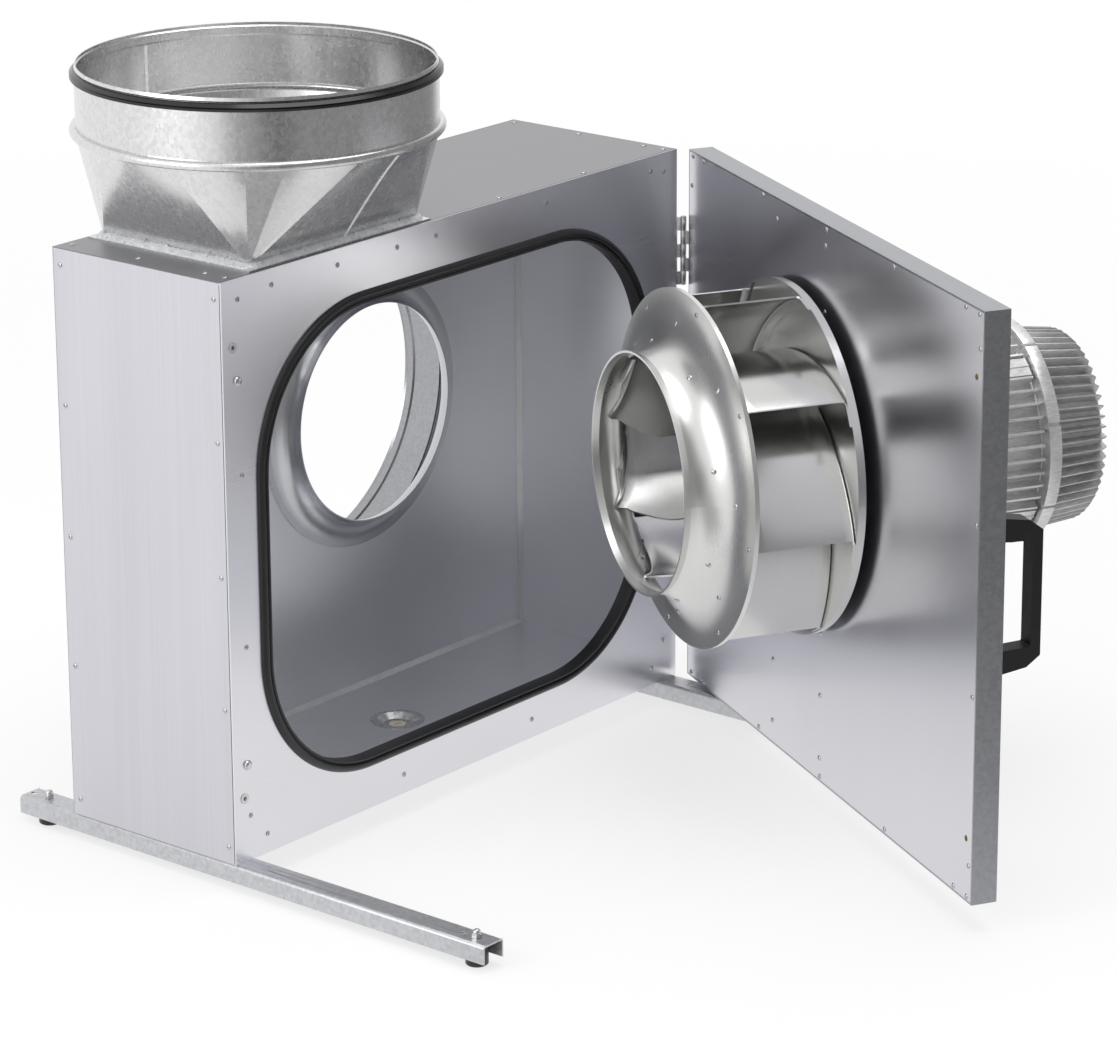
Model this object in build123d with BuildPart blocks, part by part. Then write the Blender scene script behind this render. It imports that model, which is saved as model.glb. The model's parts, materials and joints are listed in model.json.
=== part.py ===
from build123d import *
import os
from math import acos, atan2, cos, degrees, radians, sin, sqrt

os.makedirs("parts", exist_ok=True)

# Centrifugal exhaust fan with a swing-out door, in millimetres. The origin is on the floor under
# the middle of the housing. +X runs along the door side to the hinges, +Y to the inlet, +Z up.

# Housing
width = 782
depth = 251
height = 660
wall = 31
sheet = 1
frame_sheet = 1.5
board = wall - 2 * sheet
fit = 0.2

# Door opening and its rubber profile
opening_left = 58
opening_right = 62
opening_sill = 60
opening_head = 65
opening_r = 165
lip_depth = 12
seal_cover = 10
seal_proud = 6
seal_inner = 4

# Stand
rail_width = 32
rail_height = 21
rail_sheet = 2
rail_bend = 3
rail_front = 354
rail_back = 87
rail_hole_r = 3.5
rail_hole_front = 312
rail_hole_middle = 37
rail_hole_back = 80
foot_drop = 9
foot_r = 12.5
foot_front = 331
foot_back = 56
stud_r = 3
nut_across = 10
nut_height = 5
dome_r = 4.6
washer_r = 6.5
washer_sheet = 1.2

# Fan axis, and the duct sizes
axis_height = 375.6
inlet_x = 68
duct_r = 199
duct_sheet = 1
bead_rise = 7
bead_width = 9
inlet_reach = 70
inlet_bead = 8
nozzle_r = 167
nozzle_throat_r = 129.6
nozzle_depth = 25
nozzle_sheet = 1.5
nozzle_rim = 7

# Outlet, placed from the left side of the housing
outlet_inset = 197
outlet_base_x = 270
outlet_base_y = 216
outlet_rise = 112
outlet_reach = 191
throat_x = 250
throat_y = 182
throat_shift = -7
transition_corner = 4
mouth_flat = 30
corner_facets = 3
corner_facet = (90 - mouth_flat) / corner_facets
flange_width = 12
flange_sheet = 1.5
sealant_width = 11
sealant_height = 6

# Drain
drain_x = 0
drain_y = -17
drain_dish_r = 26
drain_tube_r = 12
drain_tube_sheet = 2
drain_drop = 12
drain_dish_depth = 5

# Door, with its inner face a gap away from the front frame when shut
door_thickness = 30
door_bottom = 3
door_height = 657
door_gap = 8
door_hem = 2.5
door_angle = 60.5
stiffener_x = 66
stiffener_width = 40
stiffener_sheet = 2
lock_hole_r = 3.5
lock_inset = 15.7
lock_low = 74.5
lock_high = 586

# Hinges
pin_offset_x = 7.5
pin_r = 2
knuckle_r = 3.75
knuckle_count = 5
leaf_length = 83
leaf_width = 30
leaf_sheet = 2.5
hinge_low = 125
hinge_high = height - hinge_low

# Handle on the outer face of the door
handle_inset = 30
handle_drop = 36
handle_height = 176
handle_reach = 54
handle_width = 22
handle_grip = 12
handle_leg = 27

# Impeller: depths are measured from the inner face of the door towards the inlet
blade_count = 8
plate_r = 203.5
plate_depth = 17.2
plate_sheet = 2.5
plate_lip = 7
cover_r = 204.4
cover_depth = 142.7
cover_sheet = 2.5
cover_lip = 5.2
cover_curve_r = 200
eye_r = 137
eye_depth = 190
eye_flare = 1.8
ring_depth = 197.7
blade_tip_r = 201.5
blade_tip_angle = 33.4
blade_exit = 29
blade_curve_r = 223
blade_nose_r = 126
blade_sheet = 2
blade_flange = 15
rivet_head_r = 3.2
rivet_head = 1.2
blade_rivet_offset = 8.5
cover_rivet_lift = 0.15
blade_rivet_r = (191.9, 167.2, 146.5)
plate_rivet_r = (189, 164, 143.5, 129)

# Hub and shaft
shaft_r = 19
hub_flange_r = 60
hub_flange = 8
hub_boss_r = 34
hub_boss = 44
hub_bolt_circle_r = 47
hub_bolt_count = 6
hub_bolt_r = 4
hub_bolt_head = 5.3
key_width = 10
key_height = 8
key_length = 40
end_washer_r = 27
end_washer = 5
end_bolt_r = 6

# Motor: reaches are measured outwards from the inner face of the door
shield_r = 112
shield_end = 56
journal_r = 20
bearing_r = 45
bearing_width = 23
bearing_wall = 7
rear_journal_r = 15
rear_bearing_r = 36
rear_bearing_width = 19
running_fit = 0.05
stator_end = 250
stator_body_r = 111
stator_fin_r = 124
stator_bore_r = 94
fin_count = 48
fin_width = 3.2
ring_r = 131
ring_end = 267
ring_notch_count = 8
ring_notch = 4
cap_end = 337
cap_body_r = 106
cap_rib_r = 119
cap_end_r = 111
cap_wall = 4
rib_count = 56
rib_width = 4.4
core_start = 110
core_end = 206
core_r = 60
air_gap = 0.6
winding_reach = 22
winding_start_r = 66
winding_end_r = 88

# Places that follow from the sizes above
deck = foot_drop + rail_height
roof = deck + height
left = -width / 2
right = width / 2
outlet_x = left + outlet_inset
front = -depth / 2
back = depth / 2
in_back = back - wall
casing_front = front + frame_sheet
cavity_width = width - 2 * wall
cavity_height = height - 2 * wall
axis_z = deck + axis_height
opening_width = width - opening_left - opening_right
opening_height = height - opening_sill - opening_head
opening_centre = ((opening_left - opening_right) / 2, opening_sill + opening_height / 2)
upward = (Align.CENTER, Align.MIN)


def upright(y):
    # Plane across the housing: local x along X, local y up from the deck, normal towards the door side
    return Plane(origin=(0, y, deck), x_dir=(1, 0, 0), z_dir=(0, -1, 0))


outlet_section = Plane(origin=(outlet_x, 0, roof), x_dir=(1, 0, 0), z_dir=(0, -1, 0))
outlet_axis = Axis((outlet_x, 0, 0), (0, 0, 1))
inlet_section = Plane(origin=(inlet_x, back, axis_z), x_dir=(1, 0, 0), z_dir=(0, 0, 1))
inlet_axis = Axis((inlet_x, 0, axis_z), (0, 1, 0))
drain_section = Plane(origin=(drain_x, drain_y, deck), x_dir=(1, 0, 0), z_dir=(0, -1, 0))
drain_axis = Axis((drain_x, drain_y, 0), (0, 0, 1))

# The door frame turns about the hinge pin by the angle that the door stands open
pin_x = right + pin_offset_x
pin_y = front - door_gap / 2
swing_cos = cos(radians(door_angle))
swing_sin = sin(radians(door_angle))
along_door = Vector(-swing_cos, -swing_sin, 0)
out_of_door = Vector(swing_sin, -swing_cos, 0)
door_corner = Vector(
    pin_x - pin_offset_x * swing_cos + (pin_y - front + door_gap) * swing_sin,
    pin_y - pin_offset_x * swing_sin - (pin_y - front + door_gap) * swing_cos,
    deck,
)
axis_from_hinge = right - inlet_x
fan_centre = door_corner + along_door * axis_from_hinge + Vector(0, 0, axis_height)
door_middle = (width / 2 - axis_from_hinge, door_bottom + door_height / 2 - axis_height)
lock_x = width - lock_inset - axis_from_hinge
lock_heights = (lock_low - axis_height, lock_high - axis_height)


def door_at(inward):
    # Plane parallel to the door: local x from the fan axis to the free edge, y up, z towards the inlet
    return Plane(origin=fan_centre - out_of_door * inward, x_dir=along_door, z_dir=-out_of_door)


# Half plane through the fan axis: local x is the radius, local y the depth towards the inlet
fan_section = Plane(origin=fan_centre, x_dir=along_door, z_dir=(0, 0, -1))
fan_axis = Axis(fan_centre, -out_of_door)


# Stand

rail_x = width / 2 - rail_width / 2
rail_half = (rail_width - rail_sheet) / 2
for side, rail_name in ((-1, "rail_left"), (1, "rail_right")):
    rail_end = Plane(origin=(side * rail_x, front - rail_front, foot_drop), x_dir=(1, 0, 0), z_dir=(0, -1, 0))
    with BuildPart() as rail:
        with BuildSketch(rail_end):
            with BuildLine():
                FilletPolyline(
                    (-rail_half, 0),
                    (-rail_half, rail_height - rail_sheet / 2),
                    (rail_half, rail_height - rail_sheet / 2),
                    (rail_half, 0),
                    radius=rail_bend,
                )
            trace(line_width=rail_sheet)
        extrude(amount=-(rail_front + depth + rail_back))
        with BuildSketch(Plane.XY.offset(deck)):
            with Locations(
                (side * rail_x, front - foot_front),
                (side * rail_x, back + foot_back),
            ):
                Circle(stud_r + fit)
            with Locations(
                (side * rail_x, front - rail_hole_front),
                (side * rail_x, front - rail_hole_middle),
                (side * rail_x, back + rail_hole_back),
            ):
                Circle(rail_hole_r)
        extrude(amount=-rail_sheet, mode=Mode.SUBTRACT)
    rail.part.label = rail_name
    export_step(rail.part, f"parts/{rail_name}.step")

foot_places = [
    (side * rail_x, y) for side in (-1, 1) for y in (front - foot_front, back + foot_back)
]
foot_height = deck - rail_sheet
foot_socket = 12
foot_chamfer = 1.5

with BuildPart() as feet:
    with BuildSketch(Plane.XY):
        with Locations(foot_places):
            Circle(foot_r)
    extrude(amount=foot_height)
    chamfer(feet.edges().filter_by(GeomType.CIRCLE), length=foot_chamfer)
    with BuildSketch(Plane.XY.offset(foot_height)):
        with Locations(foot_places):
            Circle(stud_r)
    extrude(amount=-(foot_height - foot_socket), mode=Mode.SUBTRACT)
feet.part.label = "rubber_feet"
export_step(feet.part, "parts/rubber_feet.step")

with BuildPart() as studs:
    with BuildSketch(Plane.XY.offset(foot_socket)):
        with Locations(foot_places):
            Circle(stud_r)
    extrude(amount=deck + washer_sheet + nut_height - foot_socket)
studs.part.label = "foot_studs"
export_step(studs.part, "parts/foot_studs.step")

with BuildPart() as dome_nuts:
    with BuildSketch(Plane.XY.offset(deck)):
        with Locations(foot_places):
            Circle(washer_r)
    extrude(amount=washer_sheet)
    with BuildSketch(Plane.XY.offset(deck + washer_sheet)):
        with Locations(foot_places):
            RegularPolygon(nut_across / 2, 6, major_radius=False)
    extrude(amount=nut_height)
    with Locations(*[Location((x, y, deck + washer_sheet + nut_height)) for x, y in foot_places]):
        Sphere(dome_r, arc_size1=0)
    with BuildSketch(Plane.XY.offset(deck)):
        with Locations(foot_places):
            Circle(stud_r)
    extrude(amount=washer_sheet + nut_height, mode=Mode.SUBTRACT)
dome_nuts.part.label = "dome_nuts"
export_step(dome_nuts.part, "parts/dome_nuts.step")


# Housing skins and insulation

outlet_hole = (throat_x + 2 * fit, throat_y + 2 * fit)

with BuildPart() as casing_wrap:
    with BuildSketch(upright(casing_front)):
        Rectangle(width, height - sheet, align=upward)
        with Locations((0, sheet)):
            Rectangle(width - 2 * sheet, height, align=upward, mode=Mode.SUBTRACT)
    extrude(amount=-(depth - frame_sheet - sheet))
    with BuildSketch(Plane.XY.offset(deck)):
        with Locations((drain_x, drain_y)):
            Circle(drain_tube_r + fit)
    extrude(amount=sheet, mode=Mode.SUBTRACT)
casing_wrap.part.label = "casing_wrap"
export_step(casing_wrap.part, "parts/casing_wrap.step")

with BuildPart() as casing_roof:
    with BuildSketch(Plane.XY.offset(roof)):
        with Locations((0, (casing_front + back - sheet) / 2)):
            Rectangle(width, depth - frame_sheet - sheet)
        with Locations((outlet_x, throat_shift)):
            Rectangle(*outlet_hole, mode=Mode.SUBTRACT)
    extrude(amount=-sheet)
casing_roof.part.label = "casing_roof"
export_step(casing_roof.part, "parts/casing_roof.step")

with BuildPart() as casing_back:
    with BuildSketch(upright(back)):
        Rectangle(width, height, align=upward)
        with Locations((inlet_x, axis_height)):
            Circle(duct_r + fit, mode=Mode.SUBTRACT)
    extrude(amount=sheet)
casing_back.part.label = "casing_back"
export_step(casing_back.part, "parts/casing_back.step")

# The front frame has a return lip round the opening, where the rubber profile is clipped on
insert_r = 4.5
insert_length = 14
insert_bore_r = 2.5
insert_places = [(left + lock_inset, lock_low), (left + lock_inset, lock_high)]

with BuildPart() as front_frame:
    with BuildSketch(upright(front)):
        Rectangle(width, height, align=upward)
        with Locations(opening_centre):
            RectangleRounded(opening_width, opening_height, opening_r, mode=Mode.SUBTRACT)
    extrude(amount=-frame_sheet)
    with BuildSketch(upright(front)):
        with Locations(opening_centre):
            RectangleRounded(
                opening_width + 2 * frame_sheet, opening_height + 2 * frame_sheet, opening_r + frame_sheet
            )
            RectangleRounded(opening_width, opening_height, opening_r, mode=Mode.SUBTRACT)
    extrude(amount=-lip_depth)
    with BuildSketch(upright(front)):
        with Locations(insert_places):
            Circle(insert_r)
    extrude(amount=-frame_sheet, mode=Mode.SUBTRACT)
front_frame.part.label = "front_frame"
export_step(front_frame.part, "parts/front_frame.step")

with BuildPart() as threaded_inserts:
    with BuildSketch(upright(front)):
        with Locations(insert_places):
            Circle(insert_r)
    extrude(amount=-insert_length)
    with BuildSketch(upright(front)):
        with Locations(insert_places):
            Circle(insert_r + 1.5)
    extrude(amount=0.8)
    with BuildSketch(upright(front - 0.8)):
        with Locations(insert_places):
            Circle(insert_bore_r)
    extrude(amount=-insert_length, mode=Mode.SUBTRACT)
threaded_inserts.part.label = "threaded_inserts"
export_step(threaded_inserts.part, "parts/threaded_inserts.step")

# Two stop bumps carry the shut door beside the rubber
bump_r = 5.5
bump_height = 4
bump_places = [(left + 21.5, 112), (left + 21.5, 548)]

with BuildPart() as door_bumps:
    with BuildSketch(upright(front)):
        with Locations(bump_places):
            Circle(bump_r)
    extrude(amount=bump_height)
    fillet(door_bumps.faces().sort_by(Axis.Y)[0:2].edges(), radius=bump_height - 0.5)
door_bumps.part.label = "door_bumps"
export_step(door_bumps.part, "parts/door_bumps.step")

with BuildPart() as door_seal:
    with BuildSketch(upright(front)):
        with Locations(opening_centre):
            RectangleRounded(
                opening_width + 2 * seal_cover, opening_height + 2 * seal_cover, opening_r + seal_cover
            )
    extrude(amount=seal_proud)
    outer_rim = door_seal.faces().sort_by(Axis.Y)[0].edges()
    fillet(outer_rim, radius=4)
    with BuildSketch(upright(front)):
        with Locations(opening_centre):
            RectangleRounded(opening_width - 2 * fit, opening_height - 2 * fit, opening_r - fit)
    extrude(amount=-lip_depth)
    with BuildSketch(upright(front - seal_proud)):
        with Locations(opening_centre):
            RectangleRounded(
                opening_width - 2 * seal_inner, opening_height - 2 * seal_inner, opening_r - seal_inner
            )
    extrude(amount=-(seal_proud + lip_depth), mode=Mode.SUBTRACT)
door_seal.part.label = "door_seal"
export_step(door_seal.part, "parts/door_seal.step")

with BuildPart() as liner_wrap:
    with BuildSketch(upright(casing_front)):
        with Locations((0, height / 2)):
            Rectangle(cavity_width + 2 * sheet, cavity_height + 2 * sheet)
            Rectangle(cavity_width, cavity_height, mode=Mode.SUBTRACT)
    extrude(amount=-(in_back - casing_front))
    with BuildSketch(Plane.XY.offset(roof - wall)):
        with Locations((outlet_x, throat_shift)):
            Rectangle(*outlet_hole)
    extrude(amount=sheet, mode=Mode.SUBTRACT)
    with BuildSketch(Plane.XY.offset(deck + wall)):
        with Locations((drain_x, drain_y)):
            Circle(drain_dish_r)
    extrude(amount=-sheet, mode=Mode.SUBTRACT)
liner_wrap.part.label = "liner_wrap"
export_step(liner_wrap.part, "parts/liner_wrap.step")

nozzle_seat_r = nozzle_r - nozzle_rim
with BuildPart() as liner_back:
    with BuildSketch(upright(in_back)):
        with Locations((0, height / 2)):
            Rectangle(cavity_width + 2 * sheet, cavity_height + 2 * sheet)
        with Locations((inlet_x, axis_height)):
            Circle(nozzle_seat_r, mode=Mode.SUBTRACT)
    extrude(amount=-sheet)
liner_back.part.label = "liner_back"
export_step(liner_back.part, "parts/liner_back.step")

# Mineral wool boards between the skins: two sides, top, bottom and back
board_depth = in_back - casing_front
board_x = width / 2 - sheet - board / 2
with BuildPart() as insulation:
    with BuildSketch(upright(casing_front)):
        with Locations((-board_x, height / 2), (board_x, height / 2)):
            Rectangle(board, height - 2 * sheet)
        with Locations((0, sheet + board / 2), (0, height - sheet - board / 2)):
            Rectangle(cavity_width + 2 * sheet - 0.01, board)
    extrude(amount=-board_depth)
    with BuildSketch(upright(in_back + sheet)):
        with Locations((0, height / 2)):
            Rectangle(cavity_width + 2 * sheet - 0.01, cavity_height + 2 * sheet - 0.01)
        with Locations((inlet_x, axis_height)):
            Circle(duct_r + fit, mode=Mode.SUBTRACT)
    extrude(amount=-board)
    with BuildSketch(Plane.XY.offset(roof)):
        with Locations((outlet_x, throat_shift)):
            Rectangle(*outlet_hole)
    extrude(amount=-wall, mode=Mode.SUBTRACT)
    with BuildSketch(Plane.XY.offset(deck)):
        with Locations((drain_x, drain_y)):
            Circle(drain_dish_r + 2)
    extrude(amount=wall, mode=Mode.SUBTRACT)
    with BuildSketch(upright(front)):
        with Locations(insert_places):
            Circle(insert_r)
    extrude(amount=-insert_length, mode=Mode.SUBTRACT)
insulation.part.label = "insulation_boards"
export_step(insulation.part, "parts/insulation_boards.step")

# A bead of sealant in the back corners and along the floor of the liner
corner_bead = 5
with BuildPart() as corner_sealant:
    with BuildSketch(upright(in_back)):
        with Locations((0, height / 2)):
            Rectangle(cavity_width, cavity_height)
    extrude(amount=corner_bead)
    with BuildSketch(upright(in_back)):
        with Locations((0, height / 2)):
            Rectangle(cavity_width - 2 * corner_bead, cavity_height - 2 * corner_bead)
    extrude(amount=corner_bead, taper=-45, mode=Mode.SUBTRACT)
corner_sealant.part.label = "corner_sealant"
export_step(corner_sealant.part, "parts/corner_sealant.step")


# Inlet

with BuildPart() as inlet_nozzle:
    with BuildSketch(inlet_section):
        with BuildLine():
            wall_face = -wall - nozzle_sheet / 2
            Line((nozzle_r, wall_face), (nozzle_seat_r - 1, wall_face))
            throat_mid_r = nozzle_throat_r + nozzle_sheet / 2
            EllipticalCenterArc(
                (nozzle_seat_r - 1, -wall - nozzle_depth),
                nozzle_seat_r - 1 - throat_mid_r,
                nozzle_depth - nozzle_sheet / 2,
                start_angle=90,
                arc_size=90,
            )
        trace(line_width=nozzle_sheet)
    revolve(axis=inlet_axis)
inlet_nozzle.part.label = "inlet_nozzle"
export_step(inlet_nozzle.part, "parts/inlet_nozzle.step")


def spigot_line(start, bead_low, reach):
    # Round duct wall in section: a rolled bead, a groove for the rubber and a turned-in rim
    r = duct_r - duct_sheet / 2
    groove = reach - 15
    Line((r, start), (r, bead_low))
    ThreePointArc(
        (r, bead_low), (r + bead_rise, bead_low + bead_width / 2), (r, bead_low + bead_width)
    )
    Polyline(
        (r, bead_low + bead_width),
        (r, groove),
        (r - 2, groove + 2),
        (r - 2, groove + 10),
        (r - 0.5, groove + 11.5),
        (r - 1.5, reach),
    )


def spigot_rubber(reach):
    # Rubber ring with two lips in the groove
    base = duct_r - 2 + fit
    groove = reach - 15
    Polyline(
        (base, groove + 2.5),
        (base + 2.5, groove + 2.5),
        (duct_r + 4.8, groove + 1),
        (base + 4, groove + 5),
        (duct_r + 4.8, groove + 5.5),
        (base + 3, groove + 9),
        (base, groove + 9.5),
        close=True,
    )


duct_flange_r = duct_r + 24
with BuildPart() as inlet_spigot:
    with BuildSketch(inlet_section):
        with BuildLine():
            spigot_line(-wall + sheet, inlet_bead, inlet_reach)
        trace(line_width=duct_sheet)
        with Locations((duct_r, 0)):
            Rectangle(duct_flange_r - duct_r, flange_sheet, align=(Align.MIN, Align.MIN))
    revolve(axis=inlet_axis)
inlet_spigot.part.label = "inlet_spigot"
export_step(inlet_spigot.part, "parts/inlet_spigot.step")

with BuildPart() as inlet_rubber:
    with BuildSketch(inlet_section):
        with BuildLine():
            spigot_rubber(inlet_reach)
        make_face()
    revolve(axis=inlet_axis)
inlet_rubber.part.label = "inlet_duct_seal"
export_step(inlet_rubber.part, "parts/inlet_duct_seal.step")


# Outlet: a square-to-round transition with flat triangles and coned corners


def round_mouth(radius):
    # Circle in arcs that match the base: one over each side, and the facets of each corner
    for quarter in range(4):
        start = 90 * quarter - mouth_flat / 2
        CenterArc((0, 0), radius, start, mouth_flat)
        for i in range(corner_facets):
            CenterArc((0, 0), radius, start + mouth_flat + corner_facet * i, corner_facet)


def square_mouth(size_x, size_y, corner):
    # Rectangle with small round corners, each cut into as many arcs as it has facets
    half_x = size_x / 2
    half_y = size_y / 2
    for quarter, (half, other) in enumerate(((half_x, half_y), (half_y, half_x)) * 2):
        spin = Rotation(0, 0, 90 * quarter)
        side_line = Edge.make_line((half, -other + corner), (half, other - corner))
        add(side_line.moved(spin))
        for i in range(corner_facets):
            corner_arc = Edge.make_circle(
                corner,
                Plane((half - corner, other - corner, 0)),
                start_angle=90 / corner_facets * i,
                end_angle=90 / corner_facets * (i + 1),
            )
            add(corner_arc.moved(spin))


def transition_form(inset):
    with BuildPart() as form:
        with BuildSketch(Plane(origin=(outlet_x, 0, roof + flange_sheet))):
            with BuildLine():
                square_mouth(outlet_base_x - 2 * inset, outlet_base_y - 2 * inset, transition_corner - inset)
            make_face()
        with BuildSketch(Plane(origin=(outlet_x, 0, roof + outlet_rise))):
            with BuildLine():
                round_mouth(duct_r - inset)
            make_face()
        loft(ruled=True)
    return form.part


transition_outside = transition_form(0)
transition_inside = transition_form(duct_sheet)
flange_y = outlet_base_y + 2 * flange_width

with BuildPart() as outlet_transition:
    add(transition_outside)
    add(transition_inside, mode=Mode.SUBTRACT)
    with BuildSketch(Plane(origin=(outlet_x, 0, roof))):
        Rectangle(outlet_base_x + 2 * flange_width, flange_y)
        with Locations((0, throat_shift)):
            Rectangle(throat_x - 2 * duct_sheet, throat_y - 2 * duct_sheet, mode=Mode.SUBTRACT)
    extrude(amount=flange_sheet)
    with BuildSketch(Plane(origin=(outlet_x, throat_shift, roof))):
        Rectangle(throat_x, throat_y)
        Rectangle(throat_x - 2 * duct_sheet, throat_y - 2 * duct_sheet, mode=Mode.SUBTRACT)
    extrude(amount=-wall)
outlet_transition.part.label = "outlet_transition"
export_step(outlet_transition.part, "parts/outlet_transition.step")

with BuildPart() as outlet_sealant:
    with BuildSketch(Plane(origin=(outlet_x, 0, roof + flange_sheet))):
        RectangleRounded(outlet_base_x + 2 * sealant_width, outlet_base_y + 2 * sealant_width, 6)
    extrude(amount=sealant_height, taper=30)
    add(transition_outside, mode=Mode.SUBTRACT)
outlet_sealant.part.label = "outlet_sealant"
export_step(outlet_sealant.part, "parts/outlet_sealant.step")

with BuildPart() as outlet_spigot:
    with BuildSketch(outlet_section):
        with BuildLine():
            spigot_line(outlet_rise, outlet_rise + 1, outlet_reach)
        trace(line_width=duct_sheet)
    revolve(axis=outlet_axis)
outlet_spigot.part.label = "outlet_spigot"
export_step(outlet_spigot.part, "parts/outlet_spigot.step")

with BuildPart() as outlet_rubber:
    with BuildSketch(outlet_section):
        with BuildLine():
            spigot_rubber(outlet_reach)
        make_face()
    revolve(axis=outlet_axis)
outlet_rubber.part.label = "outlet_duct_seal"
export_step(outlet_rubber.part, "parts/outlet_duct_seal.step")


# Drain

with BuildPart() as drain_fitting:
    with BuildSketch(drain_section):
        with BuildLine():
            Polyline(
                (drain_dish_r + 6, wall + 0.6),
                (drain_dish_r - 1, wall + 0.6),
                (drain_tube_r + 5, wall - drain_dish_depth),
                (drain_tube_r - drain_tube_sheet, wall - drain_dish_depth),
                (drain_tube_r - drain_tube_sheet, -drain_drop),
                (drain_tube_r, -drain_drop),
                (drain_tube_r, wall - drain_dish_depth - 1.5),
                (drain_tube_r + 6, wall - drain_dish_depth - 1.5),
                (drain_dish_r, wall - 0.9),
                (drain_dish_r, wall),
                (drain_dish_r + 6, wall),
                close=True,
            )
        make_face()
    revolve(axis=drain_axis)
drain_fitting.part.label = "drain_fitting"
export_step(drain_fitting.part, "parts/drain_fitting.step")

plug_length = 10
with BuildPart() as drain_plug:
    with BuildSketch(Plane.XY.offset(deck + wall - drain_dish_depth)):
        with Locations((drain_x, drain_y)):
            Circle(drain_tube_r - drain_tube_sheet)
    extrude(amount=-plug_length)
    with BuildSketch(Plane.XY.offset(deck + wall - drain_dish_depth)):
        with Locations((drain_x, drain_y)):
            Rectangle(12, 2)
    extrude(amount=-2, mode=Mode.SUBTRACT)
drain_plug.part.label = "drain_plug"
export_step(drain_plug.part, "parts/drain_plug.step")


# Rivets of the housing, as low round heads on the sheets. The front's top row stands clear of the duct

rivet_row_low = 22.5
rivet_row_high = height - 18
rivet_column = 25
rivet_first = 52
rivet_pitch = (height - rivet_first - 23) / 3
low_row_inset = 51
low_row_pitch = (width - 2 * low_row_inset + 4) / 3
high_row_left = (78, 183, 281, 346)
high_row_right = (243, 50)
roof_row_right = (314, 162)
front_rivets = (
    [(side * (width / 2 - rivet_column), rivet_first + rivet_pitch * i) for side in (-1, 1) for i in range(4)]
    + [(left + low_row_inset + low_row_pitch * i, rivet_row_low) for i in range(4)]
    + [(left + x, rivet_row_high) for x in high_row_left]
    + [(right - x, rivet_row_high) for x in high_row_right]
)
side_rivet_inset = 11
side_rivet_low = 19.5
hinge_clear = leaf_length / 2 + 12
side_rivet_heights = (
    side_rivet_low,
    hinge_low + hinge_clear,
    height / 2,
    hinge_high - hinge_clear,
    height - side_rivet_low,
)
side_rivet_columns = (front + side_rivet_inset, back - side_rivet_inset)
side_rivets = [(y, z) for y in side_rivet_columns for z in side_rivet_heights]
roof_rivets = [
    (x, y) for x in (left + 20, right - 12) for y in (front + 12, front + 41, front + 140, back - 11)
]

with BuildPart() as housing_rivets:
    with BuildSketch(upright(front)):
        with Locations(front_rivets):
            Circle(rivet_head_r)
    extrude(amount=rivet_head)
    for side in (-1, 1):
        side_plane = Plane(origin=(side * width / 2, 0, deck), x_dir=(0, side, 0), z_dir=(side, 0, 0))
        with BuildSketch(side_plane):
            with Locations([(side * y, z) for y, z in side_rivets]):
                Circle(rivet_head_r)
        extrude(amount=rivet_head)
    with BuildSketch(Plane.XY.offset(roof)):
        with Locations(roof_rivets):
            Circle(rivet_head_r)
        with Locations([(right - x, front + side_rivet_inset) for x in roof_row_right]):
            Circle(rivet_head_r)
    extrude(amount=rivet_head)
    with BuildSketch(upright(back)):
        with Locations([(x, z) for x in (left + 20, 0, right - 20) for z in (20, height - 20)]):
            Circle(rivet_head_r)
        with Locations([(x, height / 2) for x in (left + 20, right - 20)]):
            Circle(rivet_head_r)
    extrude(amount=-rivet_head)
housing_rivets.part.label = "housing_rivets"
export_step(housing_rivets.part, "parts/housing_rivets.step")


# Hinges: butt hinges on the side faces, with knuckles in front of the gap

leaf_gap = 0.3
knuckle_pitch = leaf_length / knuckle_count
leaf_start = knuckle_r + 1.2
screw_pitch = 52
screw_r = 2.6
screw_head_r = 4.6
screw_head = 1.4


def leaf_section(reach_sign):
    # Leaf in plan about the pin: a flat plate on the side face and an arm that curls into the knuckle
    plate_x = -pin_offset_x
    Polyline(
        (plate_x, reach_sign * (leaf_start + leaf_width)),
        (plate_x + leaf_sheet, reach_sign * (leaf_start + leaf_width)),
        (plate_x + leaf_sheet, reach_sign * leaf_start),
        (plate_x, reach_sign * leaf_start),
        close=True,
    )


def leaf_face(pin_plane, base):
    # Outer face of a leaf, centred on the height of its hinge
    return Plane(
        origin=pin_plane.offset(base).from_local_coords(Vector(-pin_offset_x + leaf_sheet, 0, 0)),
        x_dir=pin_plane.y_dir,
        z_dir=pin_plane.x_dir,
    )


def leaf_screws(reach_sign):
    return [(reach_sign * (leaf_start + leaf_width / 2), z) for z in (-screw_pitch / 2, screw_pitch / 2)]


def build_leaves(reach_sign, pin_plane, knuckles):
    with BuildPart() as leaves:
        for base in (hinge_low, hinge_high):
            bottom = base - leaf_length / 2
            with BuildSketch(pin_plane.offset(bottom)):
                with BuildLine():
                    leaf_section(reach_sign)
                make_face()
            extrude(amount=leaf_length)
            for k in knuckles:
                with BuildSketch(pin_plane.offset(bottom + knuckle_pitch * k + leaf_gap / 2)):
                    with BuildLine():
                        Polyline(
                            (-pin_offset_x, reach_sign * leaf_start),
                            (-pin_offset_x + leaf_sheet, reach_sign * leaf_start),
                            (0, reach_sign * (knuckle_r - 0.4)),
                            (-knuckle_r, 0),
                            (-knuckle_r, reach_sign * 1.5),
                            close=True,
                        )
                    make_face()
                    Circle(knuckle_r)
                    Circle(pin_r + running_fit, mode=Mode.SUBTRACT)
                extrude(amount=knuckle_pitch - leaf_gap)
        for base in (hinge_low, hinge_high):
            with BuildSketch(leaf_face(pin_plane, base)):
                with Locations(leaf_screws(reach_sign)):
                    Circle(screw_r)
            extrude(amount=-leaf_sheet, mode=Mode.SUBTRACT)
    return leaves.part


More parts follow.
